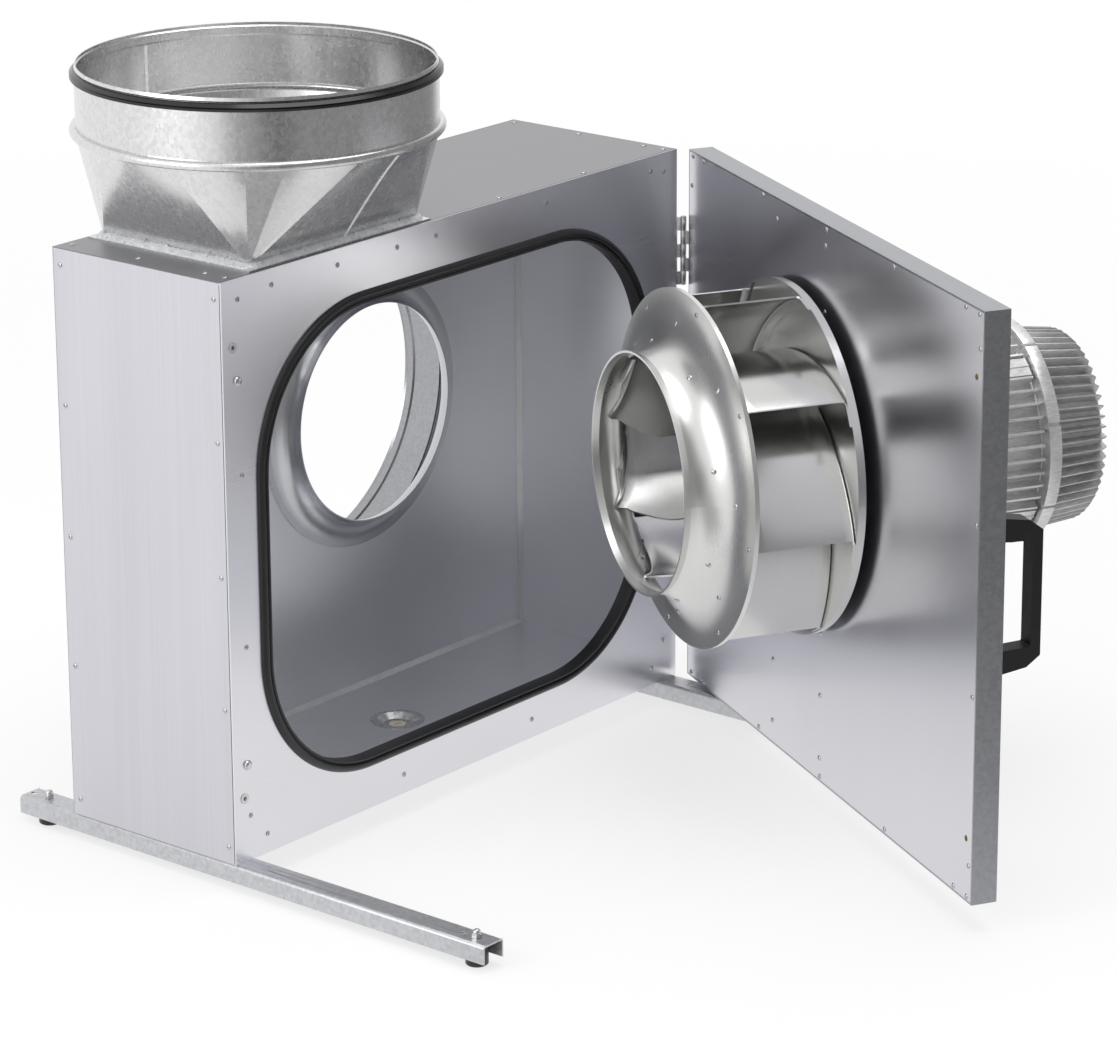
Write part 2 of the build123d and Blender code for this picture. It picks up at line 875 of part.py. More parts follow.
frame_pin_plane = Plane(origin=(pin_x, pin_y, deck), x_dir=(1, 0, 0), z_dir=(0, 0, 1))
door_pin_plane = Plane(origin=(pin_x, pin_y, deck), x_dir=(swing_cos, swing_sin, 0), z_dir=(0, 0, 1))

with BuildPart() as frame_leaves:
    add(build_leaves(1, frame_pin_plane, (0, 2, 4)))
frame_leaves.part.label = "hinge_frame_leaves"
export_step(frame_leaves.part, "parts/hinge_frame_leaves.step")

with BuildPart() as door_leaves:
    add(build_leaves(-1, door_pin_plane, (1, 3)))
door_leaves.part.label = "hinge_door_leaves"
export_step(door_leaves.part, "parts/hinge_door_leaves.step")

with BuildPart() as hinge_pins:
    for base in (hinge_low, hinge_high):
        with BuildSketch(frame_pin_plane.offset(base - leaf_length / 2 - 0.5)):
            Circle(pin_r)
        extrude(amount=leaf_length + 1)
        with BuildSketch(frame_pin_plane.offset(base + leaf_length / 2)):
            Circle(pin_r + 1)
        extrude(amount=1)
hinge_pins.part.label = "hinge_pins"
export_step(hinge_pins.part, "parts/hinge_pins.step")


def build_screws(reach_sign, pin_plane):
    with BuildPart() as screws:
        for base in (hinge_low, hinge_high):
            with BuildSketch(leaf_face(pin_plane, base)):
                with Locations(leaf_screws(reach_sign)):
                    Circle(screw_head_r)
            extrude(amount=screw_head)
            with BuildSketch(leaf_face(pin_plane, base)):
                with Locations(leaf_screws(reach_sign)):
                    Circle(screw_r)
            extrude(amount=-leaf_sheet)
    return screws.part


with BuildPart() as frame_screws:
    add(build_screws(1, frame_pin_plane))
frame_screws.part.label = "hinge_frame_screws"
export_step(frame_screws.part, "parts/hinge_frame_screws.step")

with BuildPart() as door_screws:
    add(build_screws(-1, door_pin_plane))
door_screws.part.label = "hinge_door_screws"
export_step(door_screws.part, "parts/hinge_door_screws.step")


# Door

shaft_hole_r = 32
motor_bolt_circle_r = 82.5
motor_bolt_r = 5
motor_bolt_side = motor_bolt_circle_r * sqrt(0.5)
motor_bolt_places = [(x * motor_bolt_side, y * motor_bolt_side) for x in (-1, 1) for y in (-1, 1)]
lock_places = [(lock_x, y) for y in lock_heights]
inner_depth = door_thickness - 2 * sheet

with BuildPart() as door_tray:
    with BuildSketch(door_at(-door_thickness)):
        with Locations(door_middle):
            Rectangle(width, door_height)
    extrude(amount=door_thickness)
    with BuildSketch(door_at(0)):
        with Locations(door_middle):
            Rectangle(width - 2 * door_hem, door_height - 2 * door_hem)
    extrude(amount=-(door_thickness - sheet), mode=Mode.SUBTRACT)
    with BuildSketch(door_at(-door_thickness)):
        Circle(shaft_hole_r)
        with Locations(motor_bolt_places):
            Circle(motor_bolt_r)
        with Locations(lock_places):
            Circle(lock_hole_r)
    extrude(amount=sheet, mode=Mode.SUBTRACT)
door_tray.part.label = "door_outer_tray"
export_step(door_tray.part, "parts/door_outer_tray.step")

with BuildPart() as door_skin:
    with BuildSketch(door_at(0)):
        with Locations(door_middle):
            Rectangle(width - 2 * door_hem, door_height - 2 * door_hem)
        Circle(shaft_hole_r, mode=Mode.SUBTRACT)
        with Locations(lock_places):
            Circle(lock_hole_r, mode=Mode.SUBTRACT)
    extrude(amount=-sheet)
door_skin.part.label = "door_inner_skin"
export_step(door_skin.part, "parts/door_inner_skin.step")

stiffener_height = door_height - 2 * door_hem
with BuildPart() as stiffeners:
    with BuildSketch(door_at(-door_thickness + sheet)):
        with Locations((-stiffener_x, door_middle[1]), (stiffener_x, door_middle[1])):
            Rectangle(stiffener_width, stiffener_height)
    extrude(amount=inner_depth)
    with BuildSketch(door_at(-door_thickness + sheet + stiffener_sheet)):
        with Locations((-stiffener_x, door_middle[1]), (stiffener_x, door_middle[1])):
            Rectangle(stiffener_width - 2 * stiffener_sheet, stiffener_height)
    extrude(amount=inner_depth - 2 * stiffener_sheet, mode=Mode.SUBTRACT)
    with BuildSketch(door_at(-door_thickness + sheet)):
        with Locations(motor_bolt_places):
            Circle(motor_bolt_r)
    extrude(amount=stiffener_sheet, mode=Mode.SUBTRACT)
stiffeners.part.label = "motor_stiffeners"
export_step(stiffeners.part, "parts/motor_stiffeners.step")

with BuildPart() as door_board:
    with BuildSketch(door_at(-sheet)):
        with Locations(door_middle):
            Rectangle(width - 2 * door_hem, door_height - 2 * door_hem)
        with Locations((-stiffener_x, door_middle[1]), (stiffener_x, door_middle[1])):
            Rectangle(stiffener_width, door_height, mode=Mode.SUBTRACT)
        Circle(shaft_hole_r, mode=Mode.SUBTRACT)
        with Locations(lock_places):
            Circle(lock_hole_r, mode=Mode.SUBTRACT)
    extrude(amount=-inner_depth)
door_board.part.label = "door_insulation"
export_step(door_board.part, "parts/door_insulation.step")

# Rivets on the inner face: rows along the edges and two columns over the stiffeners
door_left = -axis_from_hinge
door_low = door_bottom - axis_height
row_pitch = (width - 88) / 4
row_places = [12] + [44 + row_pitch * i for i in range(5)] + [width - 12]
column_pitch = (door_height - 84) / 3
stiffener_rivets = (28, 104, 180, door_height - 177, door_height - 101, door_height - 25)
door_rivets_inner = (
    [(door_left + x, door_low + z) for x in row_places for z in (6, door_height - 6)]
    + [(door_left + x, door_low + 42 + column_pitch * i) for x in (9, width - 9) for i in range(4)]
    + [(x, door_low + z) for x in (-stiffener_x, stiffener_x) for z in stiffener_rivets]
)
with BuildPart() as door_rivets:
    with BuildSketch(door_at(0)):
        with Locations(door_rivets_inner):
            Circle(rivet_head_r)
    extrude(amount=rivet_head)
door_rivets.part.label = "door_rivets"
export_step(door_rivets.part, "parts/door_rivets.step")

# Bridge handle: the grip stands on two legs, drawn from the side and given its width
handle_plane = Plane(
    origin=fan_centre
    + along_door * (width - handle_inset - axis_from_hinge)
    + out_of_door * door_thickness
    + Vector(0, 0, -handle_drop),
    x_dir=out_of_door,
    z_dir=-along_door,
)
handle_half = handle_height / 2
handle_foot = Plane(origin=handle_plane.origin, x_dir=along_door, z_dir=out_of_door)
handle_screw_places = [(0, y * (handle_half - handle_leg / 2)) for y in (-1, 1)]
handle_screw_head_r = 4.5
handle_screw_head = 4
handle_screw_seat = 24
shoulder_drop = 6
shoulder_reach = 38
grip_drop = 18

with BuildPart() as handle:
    with BuildSketch(handle_plane):
        with BuildLine():
            Polyline(
                (0, handle_half),
                (shoulder_reach, handle_half - shoulder_drop),
                (handle_reach, handle_half - grip_drop),
                (handle_reach, -handle_half + grip_drop),
                (shoulder_reach, -handle_half + shoulder_drop),
                (0, -handle_half),
                (0, -handle_half + handle_leg),
                (handle_reach - handle_grip, -handle_half + handle_leg + 2),
                (handle_reach - handle_grip, handle_half - handle_leg - 2),
                (0, handle_half - handle_leg),
                close=True,
            )
        make_face()
    extrude(amount=handle_width / 2, both=True)
    fillet(handle.edges().filter_by(Axis(handle_plane.origin, handle_plane.z_dir)), radius=1.5)
    with BuildSketch(handle_foot):
        with Locations(handle_screw_places):
            Circle(screw_r)
    extrude(amount=handle_reach, mode=Mode.SUBTRACT)
    with BuildSketch(handle_foot.offset(handle_screw_seat)):
        with Locations(handle_screw_places):
            Circle(handle_screw_head_r + fit)
    extrude(amount=handle_reach, mode=Mode.SUBTRACT)
handle.part.label = "handle"
export_step(handle.part, "parts/handle.step")

with BuildPart() as handle_screws:
    with BuildSketch(handle_foot):
        with Locations(handle_screw_places):
            Circle(screw_r)
    extrude(amount=handle_screw_seat)
    with BuildSketch(handle_foot.offset(handle_screw_seat)):
        with Locations(handle_screw_places):
            Circle(handle_screw_head_r)
    extrude(amount=handle_screw_head)
handle_screws.part.label = "handle_screws"
export_step(handle_screws.part, "parts/handle_screws.step")


# Motor: in this section plane local x is the radius and local y the reach out from the door
motor_section = Plane(origin=fan_centre, x_dir=along_door, z_dir=(0, 0, 1))
bearing_start = door_thickness + 6
shield_web = 8
shield_spigot = 6
spigot_wall = 8
bore_fit_r = stator_bore_r - fit

with BuildPart() as front_shield:
    with BuildSketch(motor_section):
        with BuildLine():
            Polyline(
                (journal_r + 3, door_thickness),
                (shield_r, door_thickness),
                (shield_r, shield_end),
                (bore_fit_r, shield_end),
                (bore_fit_r, shield_end + shield_spigot),
                (bore_fit_r - spigot_wall, shield_end + shield_spigot),
                (bore_fit_r - spigot_wall, bearing_start + shield_web),
                (bearing_r + bearing_wall, bearing_start + shield_web),
                (bearing_r + bearing_wall, bearing_start + bearing_width),
                (bearing_r, bearing_start + bearing_width),
                (bearing_r, bearing_start),
                (journal_r + 3, bearing_start),
                close=True,
            )
        make_face()
    revolve(axis=fan_axis)
    with BuildSketch(door_at(-door_thickness)):
        with Locations(motor_bolt_places):
            Circle(motor_bolt_r)
    extrude(amount=-(bearing_start + shield_web - door_thickness), mode=Mode.SUBTRACT)
front_shield.part.label = "motor_front_shield"
export_step(front_shield.part, "parts/motor_front_shield.step")

motor_bolt_head = 6.4
motor_bolt_head_r = 8
with BuildPart() as motor_bolts:
    seat = door_thickness - sheet - stiffener_sheet
    with BuildSketch(door_at(-seat)):
        with Locations(motor_bolt_places):
            RegularPolygon(motor_bolt_head_r, 6, major_radius=False)
    extrude(amount=motor_bolt_head)
    with BuildSketch(door_at(-seat)):
        with Locations(motor_bolt_places):
            Circle(motor_bolt_r)
    extrude(amount=-(bearing_start + shield_web - seat))
motor_bolts.part.label = "motor_bolts"
export_step(motor_bolts.part, "parts/motor_bolts.step")

fin_root = 2
pad_width = 24
with BuildPart() as stator_housing:
    with BuildSketch(door_at(-shield_end)):
        Circle(stator_body_r)
        with PolarLocations((stator_body_r - fin_root + stator_fin_r) / 2, fin_count):
            Rectangle(stator_fin_r - stator_body_r + fin_root, fin_width)
        with PolarLocations((stator_body_r - fin_root + stator_fin_r - 1) / 2, 4, start_angle=52):
            Rectangle(stator_fin_r - 1 - stator_body_r + fin_root, pad_width)
        Circle(stator_bore_r, mode=Mode.SUBTRACT)
    extrude(amount=-(stator_end - shield_end))
stator_housing.part.label = "stator_housing"
export_step(stator_housing.part, "parts/stator_housing.step")

ring_start = stator_end + 2
rear_seat = ring_end - 3.5
with BuildPart() as rear_shield:
    with BuildSketch(motor_section):
        with BuildLine():
            Polyline(
                (rear_bearing_r, rear_seat - rear_bearing_width),
                (rear_bearing_r + bearing_wall, rear_seat - rear_bearing_width),
                (rear_bearing_r + bearing_wall, ring_end - shield_web - 2),
                (bore_fit_r - spigot_wall, ring_end - shield_web - 2),
                (bore_fit_r - spigot_wall, stator_end - shield_spigot),
                (bore_fit_r, stator_end - shield_spigot),
                (bore_fit_r, stator_end),
                (shield_r, stator_end),
                (shield_r, ring_start),
                (ring_r, ring_start),
                (ring_r, ring_end),
                (0, ring_end),
                (0, rear_seat),
                (rear_bearing_r, rear_seat),
                close=True,
            )
        make_face()
    revolve(axis=fan_axis)
    with BuildSketch(door_at(-ring_start)):
        with PolarLocations(ring_r, ring_notch_count, start_angle=18):
            Rectangle(2 * ring_notch, ring_notch)
    extrude(amount=-(ring_end - ring_start), mode=Mode.SUBTRACT)
rear_shield.part.label = "motor_rear_shield"
export_step(rear_shield.part, "parts/motor_rear_shield.step")

cap_round = 8
gland_reach = 291
gland_boss_r = 15
gland_bore_r = 4.5
gland_stem_r = 8
gland_stem = 12
gland_plane = Plane(
    origin=fan_centre + out_of_door * gland_reach - Vector(0, 0, cap_rib_r),
    x_dir=along_door,
    z_dir=(0, 0, -1),
)

with BuildPart() as end_cap:
    with BuildSketch(door_at(-ring_end)):
        Circle(cap_body_r)
        with PolarLocations((cap_body_r - fin_root + cap_rib_r) / 2, rib_count):
            Rectangle(cap_rib_r - cap_body_r + fin_root, rib_width)
    extrude(amount=-(cap_end - ring_end))
    with BuildSketch(motor_section):
        with BuildLine():
            Polyline(
                (0, ring_end),
                (cap_rib_r, ring_end),
                (cap_end_r + 1, cap_end - cap_round),
                (cap_end_r - cap_round + 2, cap_end),
                (0, cap_end),
                close=True,
            )
        make_face()
    revolve(axis=fan_axis, mode=Mode.INTERSECT)
    # Round boss under the cap, where the cable gland screws in
    with BuildSketch(gland_plane):
        Circle(gland_boss_r)
    extrude(amount=-(cap_rib_r - cap_body_r + cap_wall))
    with BuildSketch(gland_plane):
        Circle(gland_stem_r)
    extrude(amount=-(cap_rib_r - cap_body_r + 2 * cap_wall), mode=Mode.SUBTRACT)
    with BuildSketch(door_at(-ring_end)):
        Circle(cap_body_r - cap_wall)
    extrude(amount=-(cap_end - ring_end - cap_wall), mode=Mode.SUBTRACT)
end_cap.part.label = "motor_end_cap"
export_step(end_cap.part, "parts/motor_end_cap.step")

cap_screw_circle_r = 88
with BuildPart() as cap_screws:
    with BuildSketch(door_at(-cap_end)):
        with PolarLocations(cap_screw_circle_r, 4, start_angle=45):
            Circle(5)
    extrude(amount=-3)
cap_screws.part.label = "motor_cap_screws"
export_step(cap_screws.part, "parts/motor_cap_screws.step")

# The cable gland screws into the underside of the cap; the cable itself is not fitted
gland_hex = 12
gland_base = 9
gland_dome = 8
with BuildPart() as cable_gland:
    with BuildSketch(gland_plane):
        RegularPolygon(gland_hex, 6, major_radius=False)
    extrude(amount=gland_base)
    with BuildSketch(gland_plane.offset(gland_base)):
        Circle(gland_hex - 1)
    extrude(amount=gland_dome, taper=12)
    with BuildSketch(gland_plane):
        Circle(gland_stem_r)
    extrude(amount=-gland_stem)
    with BuildSketch(gland_plane.offset(-gland_stem)):
        Circle(gland_bore_r)
    extrude(amount=gland_stem + gland_base + gland_dome, mode=Mode.SUBTRACT)
cable_gland.part.label = "cable_gland"
export_step(cable_gland.part, "parts/cable_gland.step")

for bearing_name, inner_r, outer_r, start, span in (
    ("front_bearing", journal_r, bearing_r, bearing_start, bearing_width),
    ("rear_bearing", rear_journal_r, rear_bearing_r, rear_seat - rear_bearing_width, rear_bearing_width),
):
    with BuildPart() as bearing:
        with BuildSketch(door_at(-start)):
            Circle(outer_r)
            Circle(inner_r + running_fit, mode=Mode.SUBTRACT)
        extrude(amount=-span)
        # A shallow shield groove on each face, between the two races
        race = (outer_r - inner_r) / 4
        for face_reach, cut in ((start, -1), (start + span, 1)):
            with BuildSketch(door_at(-face_reach)):
                Circle(outer_r - race)
                Circle(inner_r + race, mode=Mode.SUBTRACT)
            extrude(amount=cut, mode=Mode.SUBTRACT)
    bearing.part.label = bearing_name
    export_step(bearing.part, f"parts/{bearing_name}.step")

with BuildPart() as stator_core:
    with BuildSketch(door_at(-core_start)):
        Circle(stator_bore_r)
        Circle(core_r + air_gap, mode=Mode.SUBTRACT)
    extrude(amount=-(core_end - core_start))
stator_core.part.label = "stator_core"
export_step(stator_core.part, "parts/stator_core.step")

with BuildPart() as windings:
    for start in (core_start - winding_reach, core_end):
        with BuildSketch(door_at(-start)):
            Circle(winding_end_r)
            Circle(winding_start_r, mode=Mode.SUBTRACT)
        extrude(amount=-winding_reach)
windings.part.label = "stator_windings"
export_step(windings.part, "parts/stator_windings.step")

seal_wall = 8
with BuildPart() as shaft_seal:
    with BuildSketch(door_at(0)):
        Circle(shaft_hole_r)
        Circle(shaft_r + 0.3, mode=Mode.SUBTRACT)
    extrude(amount=-seal_wall)
shaft_seal.part.label = "shaft_seal"
export_step(shaft_seal.part, "parts/shaft_seal.step")


# Rotor: shaft, rotor core, hub and impeller

plate_face = plate_depth + plate_sheet
boss_face = plate_face + hub_boss
nose_depth = boss_face - 2
key_start = plate_face + 2
key_sink = 5
key_centre_r = shaft_r - key_sink + key_height / 2

with BuildPart() as motor_shaft:
    with BuildSketch(fan_section):
        with BuildLine():
            Polyline(
                (0, nose_depth),
                (shaft_r - 1.5, nose_depth),
                (shaft_r, nose_depth - 1.5),
                (shaft_r, -bearing_start + 1),
                (journal_r, -bearing_start + 1),
                (journal_r, -core_end - winding_reach),
                (rear_journal_r, -core_end - winding_reach),
                (rear_journal_r, -rear_seat + 1),
                (0, -rear_seat + 1),
                close=True,
            )
        make_face()
    revolve(axis=fan_axis)
    with BuildSketch(door_at(key_start)):
        with Locations((0, key_centre_r)):
            Rectangle(key_width, key_height)
    extrude(amount=key_length, mode=Mode.SUBTRACT)
    with BuildSketch(door_at(nose_depth)):
        Circle(end_bolt_r)
    extrude(amount=-30, mode=Mode.SUBTRACT)
motor_shaft.part.label = "motor_shaft"
export_step(motor_shaft.part, "parts/motor_shaft.step")

with BuildPart() as rotor_core:
    with BuildSketch(door_at(-core_start)):
        Circle(core_r)
        Circle(journal_r, mode=Mode.SUBTRACT)
    extrude(amount=-(core_end - core_start))
rotor_core.part.label = "rotor_core"
export_step(rotor_core.part, "parts/rotor_core.step")

with BuildPart() as shaft_key:
    with BuildSketch(door_at(key_start)):
        with Locations((0, key_centre_r)):
            Rectangle(key_width, key_height)
    extrude(amount=key_length)
shaft_key.part.label = "shaft_key"
export_step(shaft_key.part, "parts/shaft_key.step")

with BuildPart() as impeller_hub:
    with BuildSketch(door_at(plate_face)):
        Circle(hub_flange_r)
    extrude(amount=hub_flange)
    with BuildSketch(door_at(plate_face + hub_flange)):
        Circle(hub_boss_r)
    extrude(amount=hub_boss - hub_flange, taper=4)
    fillet(impeller_hub.edges().filter_by(GeomType.CIRCLE).group_by(SortBy.RADIUS)[-1], radius=1.5)
    with BuildSketch(door_at(plate_face)):
        Circle(shaft_r)
        with Locations((0, key_centre_r)):
            Rectangle(key_width, key_height)
        with PolarLocations(hub_bolt_circle_r, hub_bolt_count):
            Circle(hub_bolt_r)
    extrude(amount=hub_boss, mode=Mode.SUBTRACT)
impeller_hub.part.label = "impeller_hub"
export_step(impeller_hub.part, "parts/impeller_hub.step")

with BuildPart() as hub_bolts:
    with BuildSketch(door_at(plate_face + hub_flange)):
        with PolarLocations(hub_bolt_circle_r, hub_bolt_count):
            RegularPolygon(hub_bolt_r * 1.6, 6, major_radius=False)
    extrude(amount=hub_bolt_head)
    with BuildSketch(door_at(plate_depth)):
        with PolarLocations(hub_bolt_circle_r, hub_bolt_count):
            RegularPolygon(hub_bolt_r * 1.6, 6, major_radius=False)
    extrude(amount=-hub_bolt_head)
    with BuildSketch(door_at(plate_depth)):
        with PolarLocations(hub_bolt_circle_r, hub_bolt_count):
            Circle(hub_bolt_r)
    extrude(amount=plate_sheet + hub_flange)
hub_bolts.part.label = "hub_bolts"
export_step(hub_bolts.part, "parts/hub_bolts.step")

with BuildPart() as end_bolt:
    with BuildSketch(door_at(boss_face)):
        Circle(end_washer_r)
    extrude(amount=end_washer)
    with BuildSketch(door_at(boss_face + end_washer)):
        RegularPolygon(end_bolt_r * 1.55, 6, major_radius=False)
    extrude(amount=end_bolt_r * 1.25)
    with BuildSketch(door_at(boss_face)):
        Circle(end_bolt_r)
    extrude(amount=-28)
end_bolt.part.label = "shaft_end_bolt"
export_step(end_bolt.part, "parts/shaft_end_bolt.step")

with BuildPart() as back_plate:
    with BuildSketch(fan_section):
        with BuildLine():
            Polyline(
                (shaft_r + fit, plate_depth),
                (plate_r - plate_sheet, plate_depth),
                (plate_r - plate_sheet, plate_depth - plate_lip),
                (plate_r, plate_depth - plate_lip),
                (plate_r, plate_face),
                (shaft_r + fit, plate_face),
                close=True,
            )
        make_face()
    revolve(axis=fan_axis)
    with BuildSketch(door_at(plate_depth)):
        with PolarLocations(hub_bolt_circle_r, hub_bolt_count):
            Circle(hub_bolt_r)
    extrude(amount=plate_sheet, mode=Mode.SUBTRACT)
back_plate.part.label = "impeller_back_plate"
export_step(back_plate.part, "parts/impeller_back_plate.step")

# The cover plate is a quarter ellipse in section, from the flat rim down to the inlet ring
curve_rise = eye_depth - cover_depth
curve_run = cover_curve_r - eye_r


def cover_curve(gap):
    # The cover's section curve, moved inwards from its outer face by a gap
    EllipticalCenterArc(
        (cover_curve_r, eye_depth),
        curve_run + gap,
        curve_rise + gap,
        start_angle=180,
        arc_size=90,
    )


def cover_point(gap, angle):
    return (
        cover_curve_r + (curve_run + gap) * cos(radians(angle)),
        eye_depth + (curve_rise + gap) * sin(radians(angle)),
    )


with BuildPart() as cover_plate:
    with BuildSketch(fan_section):
        with BuildLine():
            cover_curve(0)
            cover_curve(cover_sheet)
            Polyline(
                (eye_r, eye_depth),
                (eye_r + eye_flare, ring_depth),
                (eye_r + eye_flare - cover_sheet, ring_depth),
                (eye_r - cover_sheet, eye_depth),
            )
            Polyline(
                (cover_curve_r, cover_depth),
                (cover_r, cover_depth),
                (cover_r, cover_depth - cover_lip),
                (cover_r - 1.5, cover_depth - cover_lip),
                (cover_r - 1.5, cover_depth - cover_sheet),
                (cover_curve_r, cover_depth - cover_sheet),
            )
        make_face()
    revolve(axis=fan_axis)
cover_plate.part.label = "impeller_cover_plate"
export_step(cover_plate.part, "parts/impeller_cover_plate.step")

# A blade is an arc in plan. From its tip it runs inwards at the exit angle, and its flanges
# turn to the side of the arc's centre
curve_centre = (
    blade_tip_r - blade_curve_r * cos(radians(blade_exit)),
    -blade_curve_r * sin(radians(blade_exit)),
)
curve_centre_r = sqrt(curve_centre[0] ** 2 + curve_centre[1] ** 2)
curve_centre_angle = degrees(atan2(curve_centre[1], curve_centre[0]))


def blade_angle(r, offset):
    # Angle past the tip at which the blade, moved sideways by an offset, meets the radius r
    curve = blade_curve_r - offset
    cosine = (r**2 + curve_centre_r**2 - curve**2) / (2 * r * curve_centre_r)
    return curve_centre_angle + degrees(acos(cosine))


nose_turn = radians(blade_angle(blade_nose_r, 0))
nose_angle = degrees(
    atan2(
        blade_nose_r * sin(nose_turn) - curve_centre[1],
        blade_nose_r * cos(nose_turn) - curve_centre[0],
    )
)

with BuildSketch() as web_section:
    with BuildLine():
        CenterArc(curve_centre, blade_curve_r, blade_exit, nose_angle - blade_exit)
    trace(line_width=blade_sheet)

with BuildSketch() as flange_section:
    with BuildLine():
        CenterArc(curve_centre, blade_curve_r - blade_flange / 2, blade_exit, nose_angle - blade_exit)
    trace(line_width=blade_flange)

blade_gap = 0.05
inner_gap = cover_sheet + blade_gap

with BuildPart() as front_flanges:
    with BuildSketch(door_at(cover_depth - cover_sheet - 4)):
        with PolarLocations(0, blade_count, blade_tip_angle):
            add(flange_section.sketch)
    extrude(amount=eye_depth - cover_depth)
    with BuildSketch(fan_section):
        with BuildLine():
            cover_curve(inner_gap)
            cover_curve(inner_gap + blade_sheet)
            Line(cover_point(inner_gap, 180), cover_point(inner_gap + blade_sheet, 180))
            Polyline(
                cover_point(inner_gap, 270),
                (blade_tip_r, cover_depth - inner_gap),
                (blade_tip_r, cover_depth - inner_gap - blade_sheet),
                cover_point(inner_gap + blade_sheet, 270),
            )
        make_face()
    revolve(axis=fan_axis, mode=Mode.INTERSECT)

with BuildPart() as blades:
    with BuildSketch(door_at(plate_face)):
        with PolarLocations(0, blade_count, blade_tip_angle):
            add(web_section.sketch)
    extrude(amount=eye_depth - plate_face)
    # The webs stop at the plates, and their noses slope back from the eye
    with BuildSketch(fan_section):
        with BuildLine():
            cover_curve(inner_gap)
            Polyline(
                cover_point(inner_gap, 270),
                (blade_tip_r + blade_sheet, cover_depth - inner_gap),
                (blade_tip_r + blade_sheet, plate_face),
                (blade_nose_r - blade_sheet, plate_face),
                (blade_nose_r - blade_sheet, cover_depth + 12),
                cover_point(inner_gap, 180),
            )
        make_face()
    revolve(axis=fan_axis, mode=Mode.INTERSECT)
    add(front_flanges.part)
    with BuildSketch(door_at(plate_face)):
        with PolarLocations(0, blade_count, blade_tip_angle):
            add(flange_section.sketch)
    extrude(amount=blade_sheet)
blades.part.label = "impeller_blades"
export_step(blades.part, "parts/impeller_blades.step")

# Rivet heads on the cover plate, square to its curve, and on the back plate
with BuildPart() as impeller_rivets:
    for blade in range(blade_count):
        for r in blade_rivet_r:
            turn = radians(blade_tip_angle + 360 / blade_count * blade + blade_angle(r, blade_rivet_offset))
            reach = (r - cover_curve_r) / curve_run
            slope = atan2(-reach * curve_rise, curve_run * sqrt(1 - reach**2))
            depth_here = eye_depth - curve_rise * sqrt(1 - reach**2)
            radial = along_door * cos(turn) + Vector(0, 0, sin(turn))
            off_cover = -out_of_door * cos(slope) + radial * sin(slope)
            head_plane = Plane(
                origin=fan_centre + radial * r - out_of_door * depth_here + off_cover * cover_rivet_lift,
                z_dir=off_cover,
            )
            with BuildSketch(head_plane):
                Circle(rivet_head_r)
            extrude(amount=rivet_head)
    with BuildSketch(door_at(plate_depth)):
        for r in plate_rivet_r:
            turn = blade_tip_angle + blade_angle(r, blade_rivet_offset)
            with PolarLocations(r, blade_count, start_angle=turn):
                Circle(rivet_head_r)
    extrude(amount=-rivet_head)
impeller_rivets.part.label = "impeller_rivets"
export_step(impeller_rivets.part, "parts/impeller_rivets.step")
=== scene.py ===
import json
import math
import bpy
import bmesh
from mathutils import Matrix, Vector


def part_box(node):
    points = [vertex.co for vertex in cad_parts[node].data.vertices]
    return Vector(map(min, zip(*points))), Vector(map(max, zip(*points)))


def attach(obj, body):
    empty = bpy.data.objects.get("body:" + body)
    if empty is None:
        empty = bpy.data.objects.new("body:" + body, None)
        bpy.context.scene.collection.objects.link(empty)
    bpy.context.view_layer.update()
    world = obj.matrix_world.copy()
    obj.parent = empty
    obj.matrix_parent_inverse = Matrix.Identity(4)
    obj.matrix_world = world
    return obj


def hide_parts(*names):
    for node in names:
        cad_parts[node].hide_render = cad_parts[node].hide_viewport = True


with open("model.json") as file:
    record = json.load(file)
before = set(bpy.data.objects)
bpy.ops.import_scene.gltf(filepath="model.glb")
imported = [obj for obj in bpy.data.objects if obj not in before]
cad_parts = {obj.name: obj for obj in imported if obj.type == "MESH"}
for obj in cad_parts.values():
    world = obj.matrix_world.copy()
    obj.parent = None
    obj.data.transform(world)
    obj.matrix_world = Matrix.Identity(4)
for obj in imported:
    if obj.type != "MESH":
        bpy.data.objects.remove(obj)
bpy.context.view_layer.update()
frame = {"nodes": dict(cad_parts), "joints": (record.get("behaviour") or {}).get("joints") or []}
spin = next(joint for joint in frame["joints"] if joint["name"] == "impeller_spin")
mm = 0.001
sameSpot = 0.000001  # metres within which two corners are one
square = ((-1, -1), (1, -1), (1, 1), (-1, 1))
up = Vector((0, 0, 1))
eastward = Vector((1, 0, 0))  # to the hinges' side of the housing
outOfDoor = Vector(spin["axis"]).normalized()
toInlet = -outOfDoor
alongDoor = outOfDoor.cross(up)  # from the hinges to the free edge
fanCentre = Vector(spin["pos_m"])  # on the door's inner face
print("frame loaded")


def linear(hexColour):
    parts = [int(hexColour[i:i + 2], 16) / 255 for i in (1, 3, 5)]
    return tuple(c / 12.92 if c <= 0.04045 else ((c + 0.055) / 1.055) ** 2.4 for c in parts) + (1,)


def addNode(tree, kind, settings=None, links=None):
    # a link comes from a socket, or from a node's first output in use
    node = tree.nodes.new(kind)
    for key, value in (settings or {}).items():
        if isinstance(key, str) and hasattr(node, key):
            setattr(node, key, value)
        else:
            findSocket(node, key).default_value = value
    for key, source in (links or {}).items():
        tree.links.new(outputOf(source), findSocket(node, key))
    return node


def outputOf(source):
    if hasattr(source, "outputs"):
        return next(socket for socket in source.outputs if socket.enabled)
    return source


def findSocket(node, key):
    # by place, by identifier where names repeat, or by name
    if isinstance(key, int):
        return node.inputs[key]
    named = [socket for socket in node.inputs if socket.identifier == key]
    return named[0] if named else node.inputs[key]


